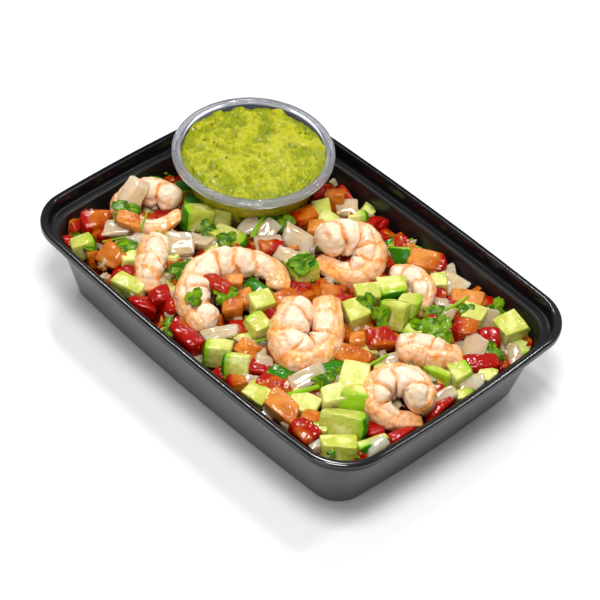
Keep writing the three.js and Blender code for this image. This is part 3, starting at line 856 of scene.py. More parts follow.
def cup_profile():
    """The cup's section, from the middle of its underside round the rim to that of its floor."""
    cup = settings().cup
    rim, skin, top = CUP_RIM_RADIUS, cup.skin, cup.height
    outside = [(0, 0), (cup.base_radius - 2 * MM, 0)]
    outside += arc(cup.base_radius - 1 * MM, 1.2 * MM, 1.1 * MM, 1.2 * MM, 270, 350, 4)
    outside += [(cup_wall(top * share), top * share) for share in (0.3, 0.6, 0.88)]
    outside += arc(cup.top_radius + 1.2 * MM, top - 2.6 * MM, 1.2 * MM, 1.2 * MM, 180, 90, 4)
    outside += [(rim - skin - 0.6 * MM, top - 1.4 * MM), (rim - skin, top - cup.lip_drop)]
    rolled = [(rim, top - cup.lip_drop)]
    rolled += arc(rim - 1.1 * MM, top - 1.1 * MM, 1.1 * MM, 1.1 * MM, 0, 90, 5)
    rolled += arc(rim - 2.2 * MM, top - 0.5 * MM, 0.6 * MM, 0.35 * MM, 60, 160, 2)
    rolled += arc(cup.top_radius + 0.5 * MM, top - 1.2 * MM, 1.1 * MM, 1.1 * MM, 80, 180, 5)
    inside = [(cup_wall(top * share) - skin, top * share) for share in (0.88, 0.6, 0.3)]
    inside += arc(cup.base_radius - 2 * MM, 2 * MM, 1.6 * MM, 1.3 * MM, 0, -90, 4)
    inside += [(0, skin)]
    return outside + rolled + inside


def dip_shape():
    """The guacamole: up to the wall, and lumpy on top."""
    cup = settings().cup
    edge, crown = cup.height - cup.edge_drop, cup.height - cup.crown_drop
    reach = cup.skin * 0.6
    rows = [(0, cup.skin * 0.7), (cup.base_radius - 4 * MM, cup.skin * 0.7)]
    heights = (3 * MM, 10 * MM, 18 * MM, 25 * MM, edge - MM)
    rows += [(cup_wall(height) - reach, height) for height in heights]
    sides = len(rows)
    top_radius = cup_wall(edge) - reach
    for ring in range(DIP_RINGS + 1):
        share = 1 - ring / DIP_RINGS
        rows.append((top_radius * share, lerp(crown, edge, share**4)))

    def place(row, turn):
        radius, height = rows[row]
        point = Vector((radius * math.cos(turn), radius * math.sin(turn), height))
        if row < sides:
            return point
        share = radius / top_radius
        # Broad lumps with folds between them, small chunks, and a fine grain.
        lift = 1.2 * lumps(point, 10 * MM) + 0.8 * (0.35 - abs(lumps(point, 6 * MM)))
        lift += 0.35 * (0.5 - noise.voronoi(point / (2.6 * MM))[0][0])
        lift = cup.lump * (lift + 0.7 * lumps(point, 2.8 * MM, 4))
        # The edge is ragged, and lower on the far side.
        far_side = smoothstep(math.cos(turn - cup.heading - math.pi / 2), 0.1, 0.9)
        ragged = smoothstep(share + 0.12 * lumps(point, 10 * MM), 0.84, 1.0)
        dent = ragged * MM * (0.1 + 0.7 * far_side + 2.2 * lumps(point, 8 * MM, 3))
        point.z += lift * smoothstep(1 - share, 0.0, 0.05) - dent
        point.z = min(point.z, cup.height - 0.1 * MM)
        return point

    shape = lathe(len(rows), DIP_COLUMNS, place)
    # Height in the mound, by which the material paints light on the tops and shade below.
    mark(shape, "height", lambda vert: smoothstep(vert.co.z, crown - 2 * MM, crown + 0.9 * MM))
    # The side below the top, which the material paints lighter as painted light.
    mark(shape, "depth", lambda vert: 1 - smoothstep(vert.co.z, edge - 5 * MM, edge - 2.5 * MM))
    return shape, top_radius


# ---- Shrimps -----------------------------------------------------------------------------------

SHRIMP_ROWS = 170
SHRIMP_COLUMNS = 56
MASK_SAMPLES = 120  # places along a shrimp at which its masks are read
# Each shrimp: its thickest radius, its tail's radius as a share of that, and the points that its
# middle line passes through, from the cut head end to the tail, in millimetres.
SHRIMPS = {
    "shrimp_1": (6.4, 0.5, [(-71, -11, 41), (-81, -13, 42), (-89, -20, 41), (-90, -29, 38),
        (-83, -34, 35), (-74, -33, 35), (-67, -27, 37), (-65, -14, 41)]),
    "shrimp_2": (7.8, 0.6, [(-61, -34.9, 36), (-52.3, -43.5, 39), (-44.9, -52.1, 38),
        (-38.3, -56.9, 33)]),
    "shrimp_3": (8, 0.62, [(-0.3, -54.2, 36.5), (-10.2, -52.3, 38.5), (-19.2, -48.2, 40),
        (-24.6, -40.5, 41.5), (-26, -32.1, 43), (-24.2, -25.1, 44), (-19.5, -18.2, 44),
        (-13.6, -12.3, 43.5), (-7.9, -9.2, 42), (-2.4, -9.7, 40), (0.9, -13.2, 37.5)]),
    "shrimp_4": (8, 0.55, [(-3.7, 16.1, 48), (-2, 24.8, 48), (1.7, 31.8, 46.5), (6.8, 36.2, 44.5),
        (13.6, 34.5, 42), (17.6, 28.8, 40), (17.2, 22.2, 38.5), (13, 17.9, 38), (5.7, 16.5, 38),
        (-3, 16.4, 37.5)]),
    "shrimp_5": (6.2, 0.5, [(26.3, 37, 32.5), (29.8, 39.7, 36), (36, 41, 38.5), (44.1, 39.4, 39),
        (48.6, 34.5, 37), (51.3, 27, 34)]),
    "shrimp_6": (8.8, 0.64, [(18.6, -15, 43), (23.1, -24.8, 43.5), (27.9, -32.2, 43),
        (32.9, -36.7, 41.5), (38.4, -36.8, 39.5), (42.6, -32.8, 39), (43.5, -25.6, 39.5),
        (40.7, -19, 42), (34.9, -13.7, 45), (25.6, -6.5, 48)]),
    "shrimp_7": (7.8, 0.75, [(64.6, 1, 37), (68.3, 6.1, 38.5), (73.8, 10.8, 38.5), (79.8, 15, 38),
        (83.9, 23.3, 36.5)]),
    "shrimp_8": (7.2, 0.56, [(96.9, -18.4, 40), (93, -12.2, 41.5), (87.2, -10.2, 42.5),
        (81.5, -12.1, 43), (77.5, -16.7, 42.5), (77.1, -23, 41), (80.8, -28.6, 39.5),
        (85.1, -29.7, 37), (90.2, -27.1, 35), (93.9, -21.9, 33.5), (97, -14.9, 32)]),
}


class Path:
    """A smooth line through points, read by its share of length."""

    def __init__(self, points):
        ends = [2 * points[0] - points[1], *points, 2 * points[-1] - points[-2]]
        fine = []
        for before, start, end, after in zip(ends, ends[1:], ends[2:], ends[3:]):
            handles = start + (end - before) / 6, end - (after - start) / 6
            fine += geometry.interpolate_bezier(start, *handles, end, 13)[:-1]
        self.points = [*fine, points[-1]]
        self.reach = [0.0]
        for start, end in zip(self.points, self.points[1:]):
            self.reach.append(self.reach[-1] + (end - start).length)

    def at(self, share):
        """Point and direction at a share of the length."""
        goal = min(max(share, 0.0), 1.0) * self.reach[-1]
        passed = (index for index, reach in enumerate(self.reach[1:]) if reach >= goal)
        index = next(passed, len(self.points) - 2)
        start, end = self.points[index], self.points[index + 1]
        step = (goal - self.reach[index]) / max(self.reach[index + 1] - self.reach[index], 1e-9)
        before = self.points[max(index - 1, 0)]
        after = self.points[min(index + 2, len(self.points) - 1)]
        return start.lerp(end, step), (after - before).normalized()

    def bend_radius(self, share):
        """Radius of the curve that the line follows near a share of its length."""
        step = 0.045
        first, second = self.at(share - step)[1], self.at(share + step)[1]
        span = (min(share + step, 1) - max(share - step, 0)) * self.reach[-1]
        return span / max(first.angle(second), 1e-3)


def shrimp_taper(along, tail):
    """A shrimp's width at a share of its length, as a share of its thickest."""
    neck = lerp(0.92, 1, smoothstep(along, 0, 0.2))
    return neck * lerp(1, tail, smoothstep(along, 0.45, 1.05))


def across_and_up(direction):
    """The level direction across a line, and the one at right angles to both."""
    side = direction.cross(Vector((0, 0, 1))).normalized()
    return side, side.cross(direction)


def curls_left(points):
    """Whether the line through the points turns left on the whole."""
    total = 0
    for start, middle, end in zip(points, points[1:], points[2:]):
        first, second = middle - start, end - middle
        total += first.x * second.y - first.y * second.x
    return total > 0


def shrimp_shape(radius, tail_share, spine, seed):
    """A peeled shrimp: rows of lobes on its belly side, a smoother back and a groove between."""
    shrimp = settings().shrimp
    path = Path([Vector(point) * MM for point in spine])
    outward = 1 if curls_left([Vector(point) for point in spine]) else -1
    shift = Vector((seed * 3.1, seed * 1.7, seed * 2.3))
    round_end = 0.55 * radius * MM / path.reach[-1]
    segments = max(4, round(path.reach[-1] / shrimp.segment))
    turned = sum(path.at((step + 1) / 12)[1].angle(path.at(step / 12)[1]) for step in range(12))
    pillow = shrimp.pillow * lerp(0.5, 1, smoothstep(turned, 1.2, 3.5))

    def crease_place(along, angle):
        """How far along its segment a point lies; the creases slant, and wander a little."""
        wander = noise.noise(shift + Vector((along * 6, angle, 0)))
        return (along * segments + 0.16 * math.cos(angle) + 0.4 * wander) % 1.0

    def groove_angle(along):
        """Where the groove between the back and the lobes runs, as an angle from the back."""
        return 1.2 + 0.35 * noise.noise(shift + Vector((along * 5, 0, 3)))

    def end_taper(along):
        head = min(along / round_end, 1)
        tail = min((1 - along) / (round_end * 0.5), 1)
        return math.sqrt(max(1 - (1 - head) ** 2, 0)) * math.sqrt(max(1 - (1 - tail) ** 2, 0))

    shares = [row / (SHRIMP_ROWS - 1) for row in range(SHRIMP_ROWS)]
    rooms = [path.bend_radius(share) for share in shares]

    def place(row, turn):
        along = shares[row]
        place_in = crease_place(along, turn)
        near = 2 * min(place_in, 1 - place_in)
        folded = min(turn, FULL_TURN - turn)
        groove = groove_angle(along)
        centre, direction = path.at(along)
        side, rise = across_and_up(direction)
        # The belly side swells between the creases, with grooves along its edges and its middle.
        belly = smoothstep(folded, groove - 0.1, groove + 0.5)
        swell = math.sqrt(1 - (1 - near) ** 2)
        swell *= 1 + 0.5 * noise.noise(shift + Vector((along * 9, folded, 5)))
        fade = smoothstep(along, 0, 1.3 * round_end) * (1 - smoothstep(along, 0.68, 0.86))
        body = 0.97 + fade * lerp(0.06 * (swell - 0.8), pillow * (swell - 0.35), belly)
        body -= 0.13 * fade * bell(folded - groove, 0.17)
        body -= 0.12 * fade * bell(math.pi - folded, 0.3)
        # The tail is flatter and ribbed.
        flat = smoothstep(along, 0.72, 0.95)
        body += 0.05 * flat * math.sin(7 * turn + 6 * along)
        across = side * (outward * math.cos(turn) * lerp(1, 1.12, flat))
        across += rise * (math.sin(turn) * lerp(1, 0.72, flat))
        width = radius * MM * shrimp_taper(along, tail_share) * end_taper(along)
        point = centre + across * width * body
        ripple = 0.08 * lumps(point / MM + shift, 4.6) + 0.035 * lumps(point / MM + shift, 1.6)
        point += across * width * ripple
        # Inside a tight bend the rows would cross, so what reaches too far is eased back.
        inward = -(point - centre).dot(side) * outward
        room = rooms[row] - 1.2 * MM
        if inward > 0.75 * room:
            eased = room * (0.75 + 0.25 * math.tanh((inward / room - 0.75) / 0.25))
            point += side * outward * (inward - eased)
        return point

    shape = lathe(SHRIMP_ROWS, SHRIMP_COLUMNS, place)
    mark_shrimp(shape, path, outward, crease_place, groove_angle)
    return shape


def mark_shrimp(shape, path, outward, crease_place, groove_angle):
    """Fills the shrimp's masks: its creases, its back and its tail."""
    line = [path.at(step / MASK_SAMPLES) for step in range(MASK_SAMPLES + 1)]
    crease, back, tail = (shape.verts.layers.float[name] for name in ("crease", "back", "tail"))
    for vert in shape.verts:
        index = min(range(MASK_SAMPLES + 1), key=lambda step: (line[step][0] - vert.co).length_squared)
        along = index / MASK_SAMPLES
        centre, direction = line[index]
        side, rise = across_and_up(direction)
        away = (vert.co - centre).normalized()
        angle = math.atan2(away.dot(rise), away.dot(side) * outward) % FULL_TURN
        folded = min(angle, FULL_TURN - angle)
        place_in = crease_place(along, angle)
        near = min(place_in, 1 - place_in)
        groove = groove_angle(along)
        past_head = smoothstep(along, 0.0, 0.05)
        vert[crease] = past_head * max(bell(near, 0.15), 0.9 * bell(folded - groove, 0.16))
        vert[back] = 1 - smoothstep(folded, groove - 0.5, groove + 0.15)
        vert[tail] = smoothstep(along, 0.74, 0.98)


# ---- Heap --------------------------------------------------------------------------------------

CORE_RINGS = 46


def heap_top(x, y):
    """Height of the heap under its visible pieces."""
    heap = settings().heap
    crown = heap.crown * (1 - (x / heap.crown_x) ** 2) * (1 - (y / heap.crown_y) ** 2)
    return heap.edge + crown - heap.dip * smoothstep(y, heap.dip_start, heap.dip_end)


def seen_on_heap(pixel_x, pixel_y, lift):
    """The point over the heap, at a lift above its surface, that the camera sees at a pixel."""
    height = settings().heap.edge
    for _ in range(6):
        point = seen_at(pixel_x, pixel_y, height + lift)
        height = heap_top(point.x, point.y)
    return point


def cup_depth(x, y):
    """Height of the cup's underside over a point, or None outside the cup."""
    cup = settings().cup
    middle = cup_matrix() @ Vector((0, 0, 0))
    away = math.hypot(x - middle.x, y - middle.y)
    if away > cup.top_radius + 2 * MM:
        return None
    slope = (away - cup.base_radius) / (cup.top_radius - cup.base_radius)
    return middle.z + max(slope, 0) * (cup.height - 2 * MM)


def core_shape():
    """The juicy mass under and between the visible pieces, hollow where the cup stands."""
    heap, tray = settings().heap, settings().tray
    clear = 0.35 * MM
    floor = tray.skin + clear
    wall = tray.base_inset + tray.skin + clear
    edge = heap.edge - heap.dip - heap.sink
    rows = [(None, floor), (wall + 4 * MM, floor), (wall + 1.4 * MM, 2.4 * MM)]
    rows += [(wall, tray.foot_rise + tray.skin), (wall_inset(edge) + clear, edge - MM)]
    outermost = wall_inset(edge) + clear + 0.5 * MM
    for ring in range(CORE_RINGS):
        rows.append((lerp(outermost, 72 * MM, ring / (CORE_RINGS - 1)), heap.edge))
    rows.append((None, heap.edge))
    shape = squared_lathe(rows)
    for vert in shape.verts:
        if vert.co.z < heap.edge - 1e-6:
            continue
        point = vert.co.copy()
        level = heap_top(point.x, point.y) - heap.sink
        level += 1.6 * MM * lumps(point, 9 * MM) + 1.0 * MM * lumps(point, 3.5 * MM)
        under_cup = cup_depth(point.x, point.y)
        if under_cup is not None:
            level = min(level, under_cup - 1.5 * MM)
        vert.co.z = level
    return shape


# ---- Cut pieces --------------------------------------------------------------------------------


def facing(turn, tilt, heading):
    """Turns a piece. Turn 0 has one side facing the viewer, and heading 0 leans it towards them,
    90 to the right; all in degrees."""
    world = math.degrees(CAMERA_HEADING)
    lean_to = math.radians(heading + world - 90)
    line = Vector((-math.sin(lean_to), math.cos(lean_to), 0))
    lean = Quaternion(line, math.radians(tilt))
    return (lean @ Quaternion((0, 0, 1), math.radians(turn + world))).to_matrix().to_4x4()


# The side of a block that its skin is on.
RIND = {
    "none": None, "left": (-1, 0, 0), "right": (1, 0, 0),
    "front": (0, -1, 0), "back": (0, 1, 0), "top": (0, 0, 1),
}


def cut_block(edges, rind, draw, cuts=2, skew=0.2, round_off=0.5 * MM, bulge=0.05):
    """A knife-cut block with slightly skewed sides, and skin on the side that rind names."""
    shape = new_shape()
    bmesh.ops.create_cube(shape, size=1)
    if cuts:
        bmesh.ops.subdivide_edges(shape, edges=shape.edges[:], cuts=cuts, use_grid_fill=True)
    corner_shift = {
        (x, y, z): Vector((draw.uniform(-skew, skew) for _ in range(3)))
        for x in (-1, 1) for y in (-1, 1) for z in (-1, 1)
    }
    skin_side = Vector(RIND[rind]) if RIND[rind] else None
    for vert in shape.verts:
        at = vert.co.copy()
        shift = Vector((0, 0, 0))
        for (x, y, z), corner in corner_shift.items():
            shift += corner * (0.5 + x * at.x) * (0.5 + y * at.y) * (0.5 + z * at.z)
        if skin_side and at.dot(skin_side) > 0.49:
            off_axis = at - skin_side * at.dot(skin_side)
            shift += skin_side * (0.16 * (1 - 4 * off_axis.length_squared))
        vert.co = at + shift * 0.5
        vert.co *= 1 + bulge * (1 - 2 * at.length_squared)
    bmesh.ops.scale(shape, vec=edges, verts=shape.verts)
    borders = [edge for edge in shape.edges if edge.calc_face_angle(0) > math.radians(50)]
    bmesh.ops.bevel(
        shape, geom=borders, offset=round_off, offset_type="OFFSET", segments=2, profile=0.5,
        affect="EDGES", clamp_overlap=True, material=-1,
    )
    bmesh.ops.recalc_face_normals(shape, faces=shape.faces)
    if cuts:
        for vert in shape.verts:
            vert.co += vert.normal * (0.32 * MM * lumps(vert.co + corner_shift[1, 1, 1], 3 * MM))
    mark_depth(shape, edges, skin_side)
    return shape


def mark_depth(shape, edges, skin_side):
    """Millimetres below the skin."""
    if skin_side is None:
        mark(shape, "depth", lambda vert: 9.0)
        return
    extent = abs(Vector(edges).dot(skin_side)) / 2
    mark(shape, "depth", lambda vert: max(0.0, (extent * 0.93 - vert.co.dot(skin_side)) / MM))


def onion_petal(length_, width, thick, bend, draw):
    """A chopped piece of one or two onion layers, curved across its width."""
    size = (length_, width, thick)
    shape = cut_block(size, "none", draw, cuts=4, skew=0.4, round_off=0.7 * MM, bulge=0.08)
    radius = width / max(bend, 0.05)
    shift = Vector((draw.uniform(0, 9), draw.uniform(0, 9), 0))
    for vert in shape.verts:
        x, y, z = vert.co
        angle = y / radius
        x += 0.9 * MM * noise.noise(Vector((y, z, 0)) / (4 * MM) + shift)
        z += 0.9 * MM * noise.noise(Vector((x, y, 0)) / (5 * MM) + shift)
        vert.co = Vector((x, (radius + z) * math.sin(angle), (radius + z) * math.cos(angle) - radius))
    bmesh.ops.recalc_face_normals(shape, faces=shape.faces)
    return shape


def herb_leaf(size, draw, fold=0.6):
    """A flat cilantro leaflet: three toothed lobes, folded and wavy."""
    shape = new_shape()
    around, rings = 36, 5
    bmesh.ops.create_grid(shape, x_segments=around, y_segments=rings, size=0.5)
    shift = draw.uniform(0, 50)
    pale = shape.verts.layers.float["depth"]
    for vert in shape.verts:
        angle, share = (vert.co.x + 0.5) * FULL_TURN, vert.co.y + 0.5
        lobe = 0.5 + 0.5 * abs(math.cos(1.5 * angle)) ** 0.7
        tooth = 1 - 0.13 * (0.5 + 0.5 * math.cos(15 * angle))
        reach = 0.5 * size * share * lerp(1, lobe * tooth, share)
        reach *= 1 + 0.15 * noise.noise(Vector((angle, shift, 0)))
        x, y = reach * math.cos(angle), 0.85 * reach * math.sin(angle)
        wave = 0.09 * size * noise.noise(Vector((x, y, 0)) / (0.35 * size) + Vector((shift, 0, 0)))
        vert.co = Vector((x, y, wave - fold * abs(y) ** 1.5 / math.sqrt(size)))
        vein = abs(math.sin(1.5 * angle)) < 0.14 and share < 0.8
        vert[pale] = 0.55 if vein else 0.0
    bmesh.ops.remove_doubles(shape, verts=shape.verts, dist=0.02 * MM)
    bmesh.ops.recalc_face_normals(shape, faces=shape.faces)
    bmesh.ops.solidify(shape, geom=shape.faces[:], thickness=0.35 * MM)
    bmesh.ops.recalc_face_normals(shape, faces=shape.faces)
    return shape


def herb_stem(length_, radius, draw):
    """A cut length of stem, slightly bent."""
    rows, sides = 10, 8
    bend = draw.uniform(-0.2, 0.2)

    def place(row, turn):
        along = min(max(row - 1, 0), rows - 3) / (rows - 3)
        width = 0 if row in (0, rows - 1) else radius * lerp(1.1, 0.85, along)
        middle = Vector(((along - 0.5) * length_, bend * length_ * (along - 0.5) ** 2, 0))
        return middle + Vector((0, width * math.cos(turn), width * math.sin(turn)))

    shape = lathe(rows, sides, place)
    mark(shape, "depth", lambda vert: 0.9)
    return shape


def small_bit(size, draw):
    """A crumb of herb, onion or tomato."""
    shape = new_shape()
    bmesh.ops.create_icosphere(shape, subdivisions=1, radius=size / 2)
    for vert in shape.verts:
        vert.co = Vector((vert.co.x * 1.3, vert.co.y, vert.co.z * 0.6)) * draw.uniform(0.75, 1.15)
    return shape


# ---- Where the pieces lie ----------------------------------------------------------------------

# The first two numbers of every row are the pixel at which the camera sees the piece's middle.
# Blocks: pixel, edges in mm, turn, tilt, heading, side with skin, lift in mm, tone, and 1 for
# a block whose skin was peeled off.
CUCUMBERS = [
    (84, 246, (11, 9, 9), 20, 8, 270, "right", 2.5, 0.3, 0),
    (131, 259, (9, 8, 8), 10, 5, 0, "none", 2.5, 0.4, 0),
    (129, 287, (14, 8, 8), -25, 6, 0, "none", 3, 0.2, 0),
    (197, 220, (13, 9, 14), 20, 10, 180, "left", 4, 0.1, 0),
    (221, 217, (11, 8, 11), -10, 12, 180, "none", 4, 0.3, 0),
    (194, 206, (9, 9, 8), 0, 10, 200, "top", 3, 0.2, 0),
    (228, 237, (16, 9, 6), -20, 10, 60, "right", 4, 0.1, 0),
    (302, 270, (13, 13, 12), 35, 12, 300, "top", 4, 0.2, 0),
    (257, 290, (13, 6, 5), -35, 10, 0, "top", 2, 0.5, 0),
    (260, 303, (11, 10, 9), 25, 10, 30, "none", 4, 0.2, 0),
    (257, 327, (10, 10, 10), 40, 6, 0, "back", 3.5, 0.3, 1),
    (217, 353, (12, 8, 11), -5, 12, 180, "left", 4, 0.5, 0),
    (237, 369, (12, 5, 12), -10, 30, 180, "left", 3.5, 0.6, 0),
    (284, 376, (13, 8, 6), -30, 8, 0, "top", 2.5, 0.4, 0),
    (258, 398, (11, 9, 8), -35, 5, 0, "none", 3, 0.2, 0),
    (304, 406, (13, 9, 9), -15, 15, 40, "none", 3, 0.9, 0),
    (321, 211, (9, 8, 7), 20, 10, 0, "none", 4, 0.3, 0),
    (329, 220, (10, 7, 5), -20, 10, 20, "none", 4, 0.4, 0),
    (357, 219, (9, 7, 7), 10, 15, 200, "right", 2.5, 0.9, 0),
    (367, 296, (11, 10, 9), 10, 8, 0, "none", 5, 0.3, 0),
    (355, 315, (11, 11, 13), 30, 8, 0, "none", 5, 0.2, 0),
    (392, 288, (12, 10, 6), 15, 15, 0, "front", 7, 0.1, 0),
    (394, 314, (13, 9, 13), -15, 20, 180, "left", 6, 0.1, 0),
    (408, 308, (9, 8, 13), -15, 12, 150, "right", 5, 0.4, 1),
    (438, 283, (8, 8, 8), 10, 10, 0, "none", 3, 0.4, 0),
    (473, 318, (11, 10, 12), -20, 10, 0, "none", 3.5, 0.4, 0),
    (510, 330, (13, 12, 12), 35, 5, 0, "none", 3.5, 0.2, 0),
    (437, 377, (13, 4, 8), -35, 12, 180, "front", 3, 0.2, 1),
    (460, 375, (10, 9, 9), 30, 5, 0, "right", 3.5, 0.2, 0),
    (488, 377, (9, 8, 6), -10, 10, 0, "none", 2.5, 0.4, 0),
    (464, 396, (9, 5, 5), 25, 5, 0, "right", 2, 0.2, 0),
    (353, 379, (12, 13, 9), -5, 12, 0, "none", 7, 0.95, 0),
    (355, 402, (12, 9, 12), -5, 14, 180, "front", 5.5, 0.1, 1),
    (333, 400, (11, 9, 12), 20, 8, 0, "none", 4.5, 1.0, 0),
    (331, 370, (13, 8, 7), 30, 12, 200, "top", 3.5, 0.2, 0),
    (343, 426, (19, 9, 13), -5, 25, 180, "right", 5, 0.3, 0),
    (339, 449, (17, 9, 10), 3, 12, 180, "none", 4, 0.1, 0),
    (319, 434, (7, 6, 9), 0, 0, 0, "left", 2, 0.1, 0),
    (183, 191, (8, 8, 9), 20, 0, 0, "top", 2, 0.1, 0),
    (398, 260, (13, 3, 12), -20, 35, 180, "front", 0.5, 0.0, 0),
    (373, 446, (14, 5, 7), 35, 10, 180, "front", 2, 0.2, 0),
]
TOMATOES = [
    (96, 224, (12, 9, 9), 15, 10, 0, "left", 3, 0.4, 0),
    (129, 221, (10, 8, 5), -5, 10, 0, "none", 12, 0.7, 0),
    (112, 257, (13, 11, 7), -40, 30, 330, "none", 3, 0.6, 0),
    (143, 306, (11, 10, 9), 0, 0, 0, "top", 1, 0.1, 0),
    (161, 300, (9, 8, 11), 20, 10, 0, "top", 2.5, 0.0, 0),
    (169, 312, (5, 7, 11), 10, 15, 90, "left", 2.5, 0.3, 0),
    (186, 339, (16, 8, 9), -44, 8, 0, "front", 3, 0.1, 0),
    (217, 284, (12, 7, 5), -30, 20, 0, "top", 10, 0.8, 1),
    (234, 281, (7, 6, 6), 0, 0, 0, "none", 9, 0.9, 0),
    (233, 308, (10, 8, 11), 10, 5, 0, "none", 4, 0.5, 0),
    (245, 300, (7, 8, 8), 20, 0, 0, "none", 3, 0.8, 0),
    (286, 302, (13, 10, 8), 20, 15, 20, "none", 4, 0.5, 0),
    (270, 249, (11, 8, 8), 30, 10, 0, "right", 2.5, 0.3, 0),
    (303, 219, (11, 8, 9), 30, 10, 0, "left", 4, 0.5, 0),
    (317, 230, (8, 7, 7), 0, 0, 0, "none", 4, 0.9, 0),
    (318, 197, (9, 9, 9), 20, 0, 0, "top", 3, 0.1, 0),
    (334, 203, (10, 8, 11), -5, 15, 180, "back", 4, 0.6, 0),
    (426, 262, (16, 10, 8), -10, 10, 20, "right", 3, 0.8, 0),
    (333, 297, (11, 9, 8), 0, 10, 0, "right", 2.5, 0.6, 0),
    (345, 306, (9, 9, 9), 0, 0, 0, "top", 1, 0.1, 0),
    (379, 340, (15, 11, 9), 15, 15, 0, "none", 4.5, 0.22, 0),
    (349, 356, (16, 9, 7), -20, 12, 0, "none", 4, 0.5, 0),
    (357, 342, (8, 8, 7), 0, 0, 0, "none", 2, 0.8, 0),
    (467, 299, (14, 9, 5), -10, 10, 0, "none", 3, 0.9, 0),
    (465, 331, (10, 9, 11), 0, 10, 0, "left", 4, 0.4, 0),
    (488, 341, (10, 9, 9), 20, 0, 0, "top", 2.5, 0.3, 0),
    (478, 364, (15, 9, 7), 15, 10, 0, "top", 3, 0.1, 0),
    (441, 411, (14, 7, 8), 35, 10, 0, "front", 3, 0.1, 0),
    (303, 434, (13, 10, 10), -35, 5, 0, "left", 3.5, 0.2, 0),
    (263, 371, (12, 8, 6), -5, 5, 0, "top", 1.5, 0.1, 0),
    (272, 386, (12, 10, 8), -20, 10, 0, "none", 3, 0.2, 0),
    (237, 385, (8, 8, 10), 10, 5, 0, "left", 3, 0.7, 0),
    (246, 351, (13, 10, 8), -30, 12, 0, "none", 3, 0.7, 0),
    (284, 411, (14, 11, 10), -25, 10, 20, "none", 4, 0.8, 0),
    (312, 421, (10, 8, 10), 0, 0, 0, "none", 2, 0.6, 0),
    (401, 438, (13, 8, 7), 33, 5, 0, "top", 2, 0.2, 0),
    (375, 431, (10, 8, 6), 0, 0, 0, "top", 1, 0.1, 0),
]
# Onion petals: pixel, length, width and thickness in mm, bend, turn, tilt, heading, lift, tone.
ONIONS = [
    (134, 194, (13, 10, 2.2), 0.9, 60, 50, 0, 15, 0.4),
    (117, 228, (11, 9, 4), 0.6, 0, 15, 0, 7, 0.5),
    (143, 241, (12, 8, 4), 0.5, -20, 10, 0, 7, 0.5),
    (182, 246, (11, 9, 5), 0.5, 10, 25, 0, 5, 0.4),
    (201, 243, (10, 7, 4), 0.6, -10, 15, 0, 4, 1.0),
    (299, 240, (17, 11, 3), 0.8, -20, 35, 20, 5, 0.3),
    (289, 258, (13, 7, 3), 0.6, -20, 20, 0, 4, 0.9),
    (250, 227, (10, 8, 4), 0.7, 30, 25, 0, 4, 0.5),
    (268, 232, (12, 8, 3), 0.7, 60, 35, 0, 4, 0.3),
    (268, 246, (11, 8, 3), 0.7, 10, 30, 0, 4, 0.8),
    (218, 334, (15, 6, 4), 0.6, 20, 20, 0, 4, 0.1),
    (346, 209, (10, 8, 4), 0.6, 10, 25, 0, 4, 0.6),
    (453, 284, (13, 10, 3), 0.7, -20, 25, 0, 4, 0.1),
    (473, 350, (12, 10, 3), 0.6, 60, 35, 300, 4.5, 0.9),
    (443, 397, (15, 6, 4), 0.4, 35, 25, 0, 4, 0.2),
    (473, 384, (10, 7, 4), 0.6, 20, 20, 0, 3, 0.2),
    (488, 322, (11, 8, 3), 0.8, 80, 60, 0, 4, 0.8),
    (308, 378, (15, 6, 4), 0.4, 35, 25, 0, 6, 0.7),
    (330, 383, (8, 8, 4), 0.5, 0, 20, 0, 4, 0.6),
    (377, 451, (10, 8, 4), 0.5, 30, 30, 0, 3, 0.0),
    (248, 384, (9, 7, 3), 0.6, 70, 30, 0, 3, 0.8),
    (265, 362, (9, 7, 3), 0.7, 0, 20, 0, 3.5, 0.9),
    (389, 360, (8, 5, 3), 0.5, 10, 10, 0, 3, 0.9),
    (448, 316, (9, 6, 3), 0.6, 60, 30, 0, 4, 0.4),
]
# Leaves: pixel, size in mm, turn, tilt, heading, lift in mm, tone, fold.
LEAVES = [
    (125, 210, 17, 10, 25, 0, 14.5, 0.2, 0.5),
    (129, 245, 15, 40, 20, 0, 8, 0.5, 0.8),
    (93, 247, 11, 80, 50, 90, 5, 0.3, 0.8),
    (208, 229, 11, 120, 40, 0, 9, 0.1, 0.6),
    (226, 238, 11, 30, 20, 0, 8, 0.2, 0.5),
    (254, 214, 15, 200, 30, 0, 7, 0.3, 0.7),
    (272, 219, 18, -20, 25, 0, 7, 0.2, 0.6),
    (287, 225, 14, -50, 30, 0, 7, 0.1, 0.7),
    (182, 269, 15, 45, 20, 0, 8, 0.0, 0.2),
    (225, 294, 13, 20, 25, 0, 10, 0.8, 0.7),
    (194, 297, 11, 60, 30, 0, 16, 0.8, 0.7),
    (301, 263, 16, 40, 12, 300, 10.5, 0.3, 0.3),
    (367, 303, 13, -60, 35, 0, 12, 0.5, 1.0),
    (381, 316, 12, -80, 45, 0, 11, 0.7, 0.9),
    (433, 311, 14, 10, 20, 0, 5, 0.1, 0.9),
    (420, 328, 20, 30, 25, 0, 5.5, 0.6, 1.1),
    (440, 331, 18, 70, 25, 0, 7.5, 0.8, 0.4),
    (491, 351, 14, -20, 30, 0, 7, 0.1, 0.9),
    (466, 308, 9, 20, 20, 0, 9, 0.1, 0.8),
    (496, 309, 12, 70, 40, 0, 8, 0.6, 0.9),
    (323, 378, 14, 30, 25, 0, 9, 0.1, 0.9),
    (174, 326, 15, 10, 15, 0, 6, 0.2, 0.5),
    (332, 454, 6, 70, 15, 0, 9, 0.1, 0.5),
    (147, 191, 8, 10, 15, 0, 12, 0.1, 0.5),
]
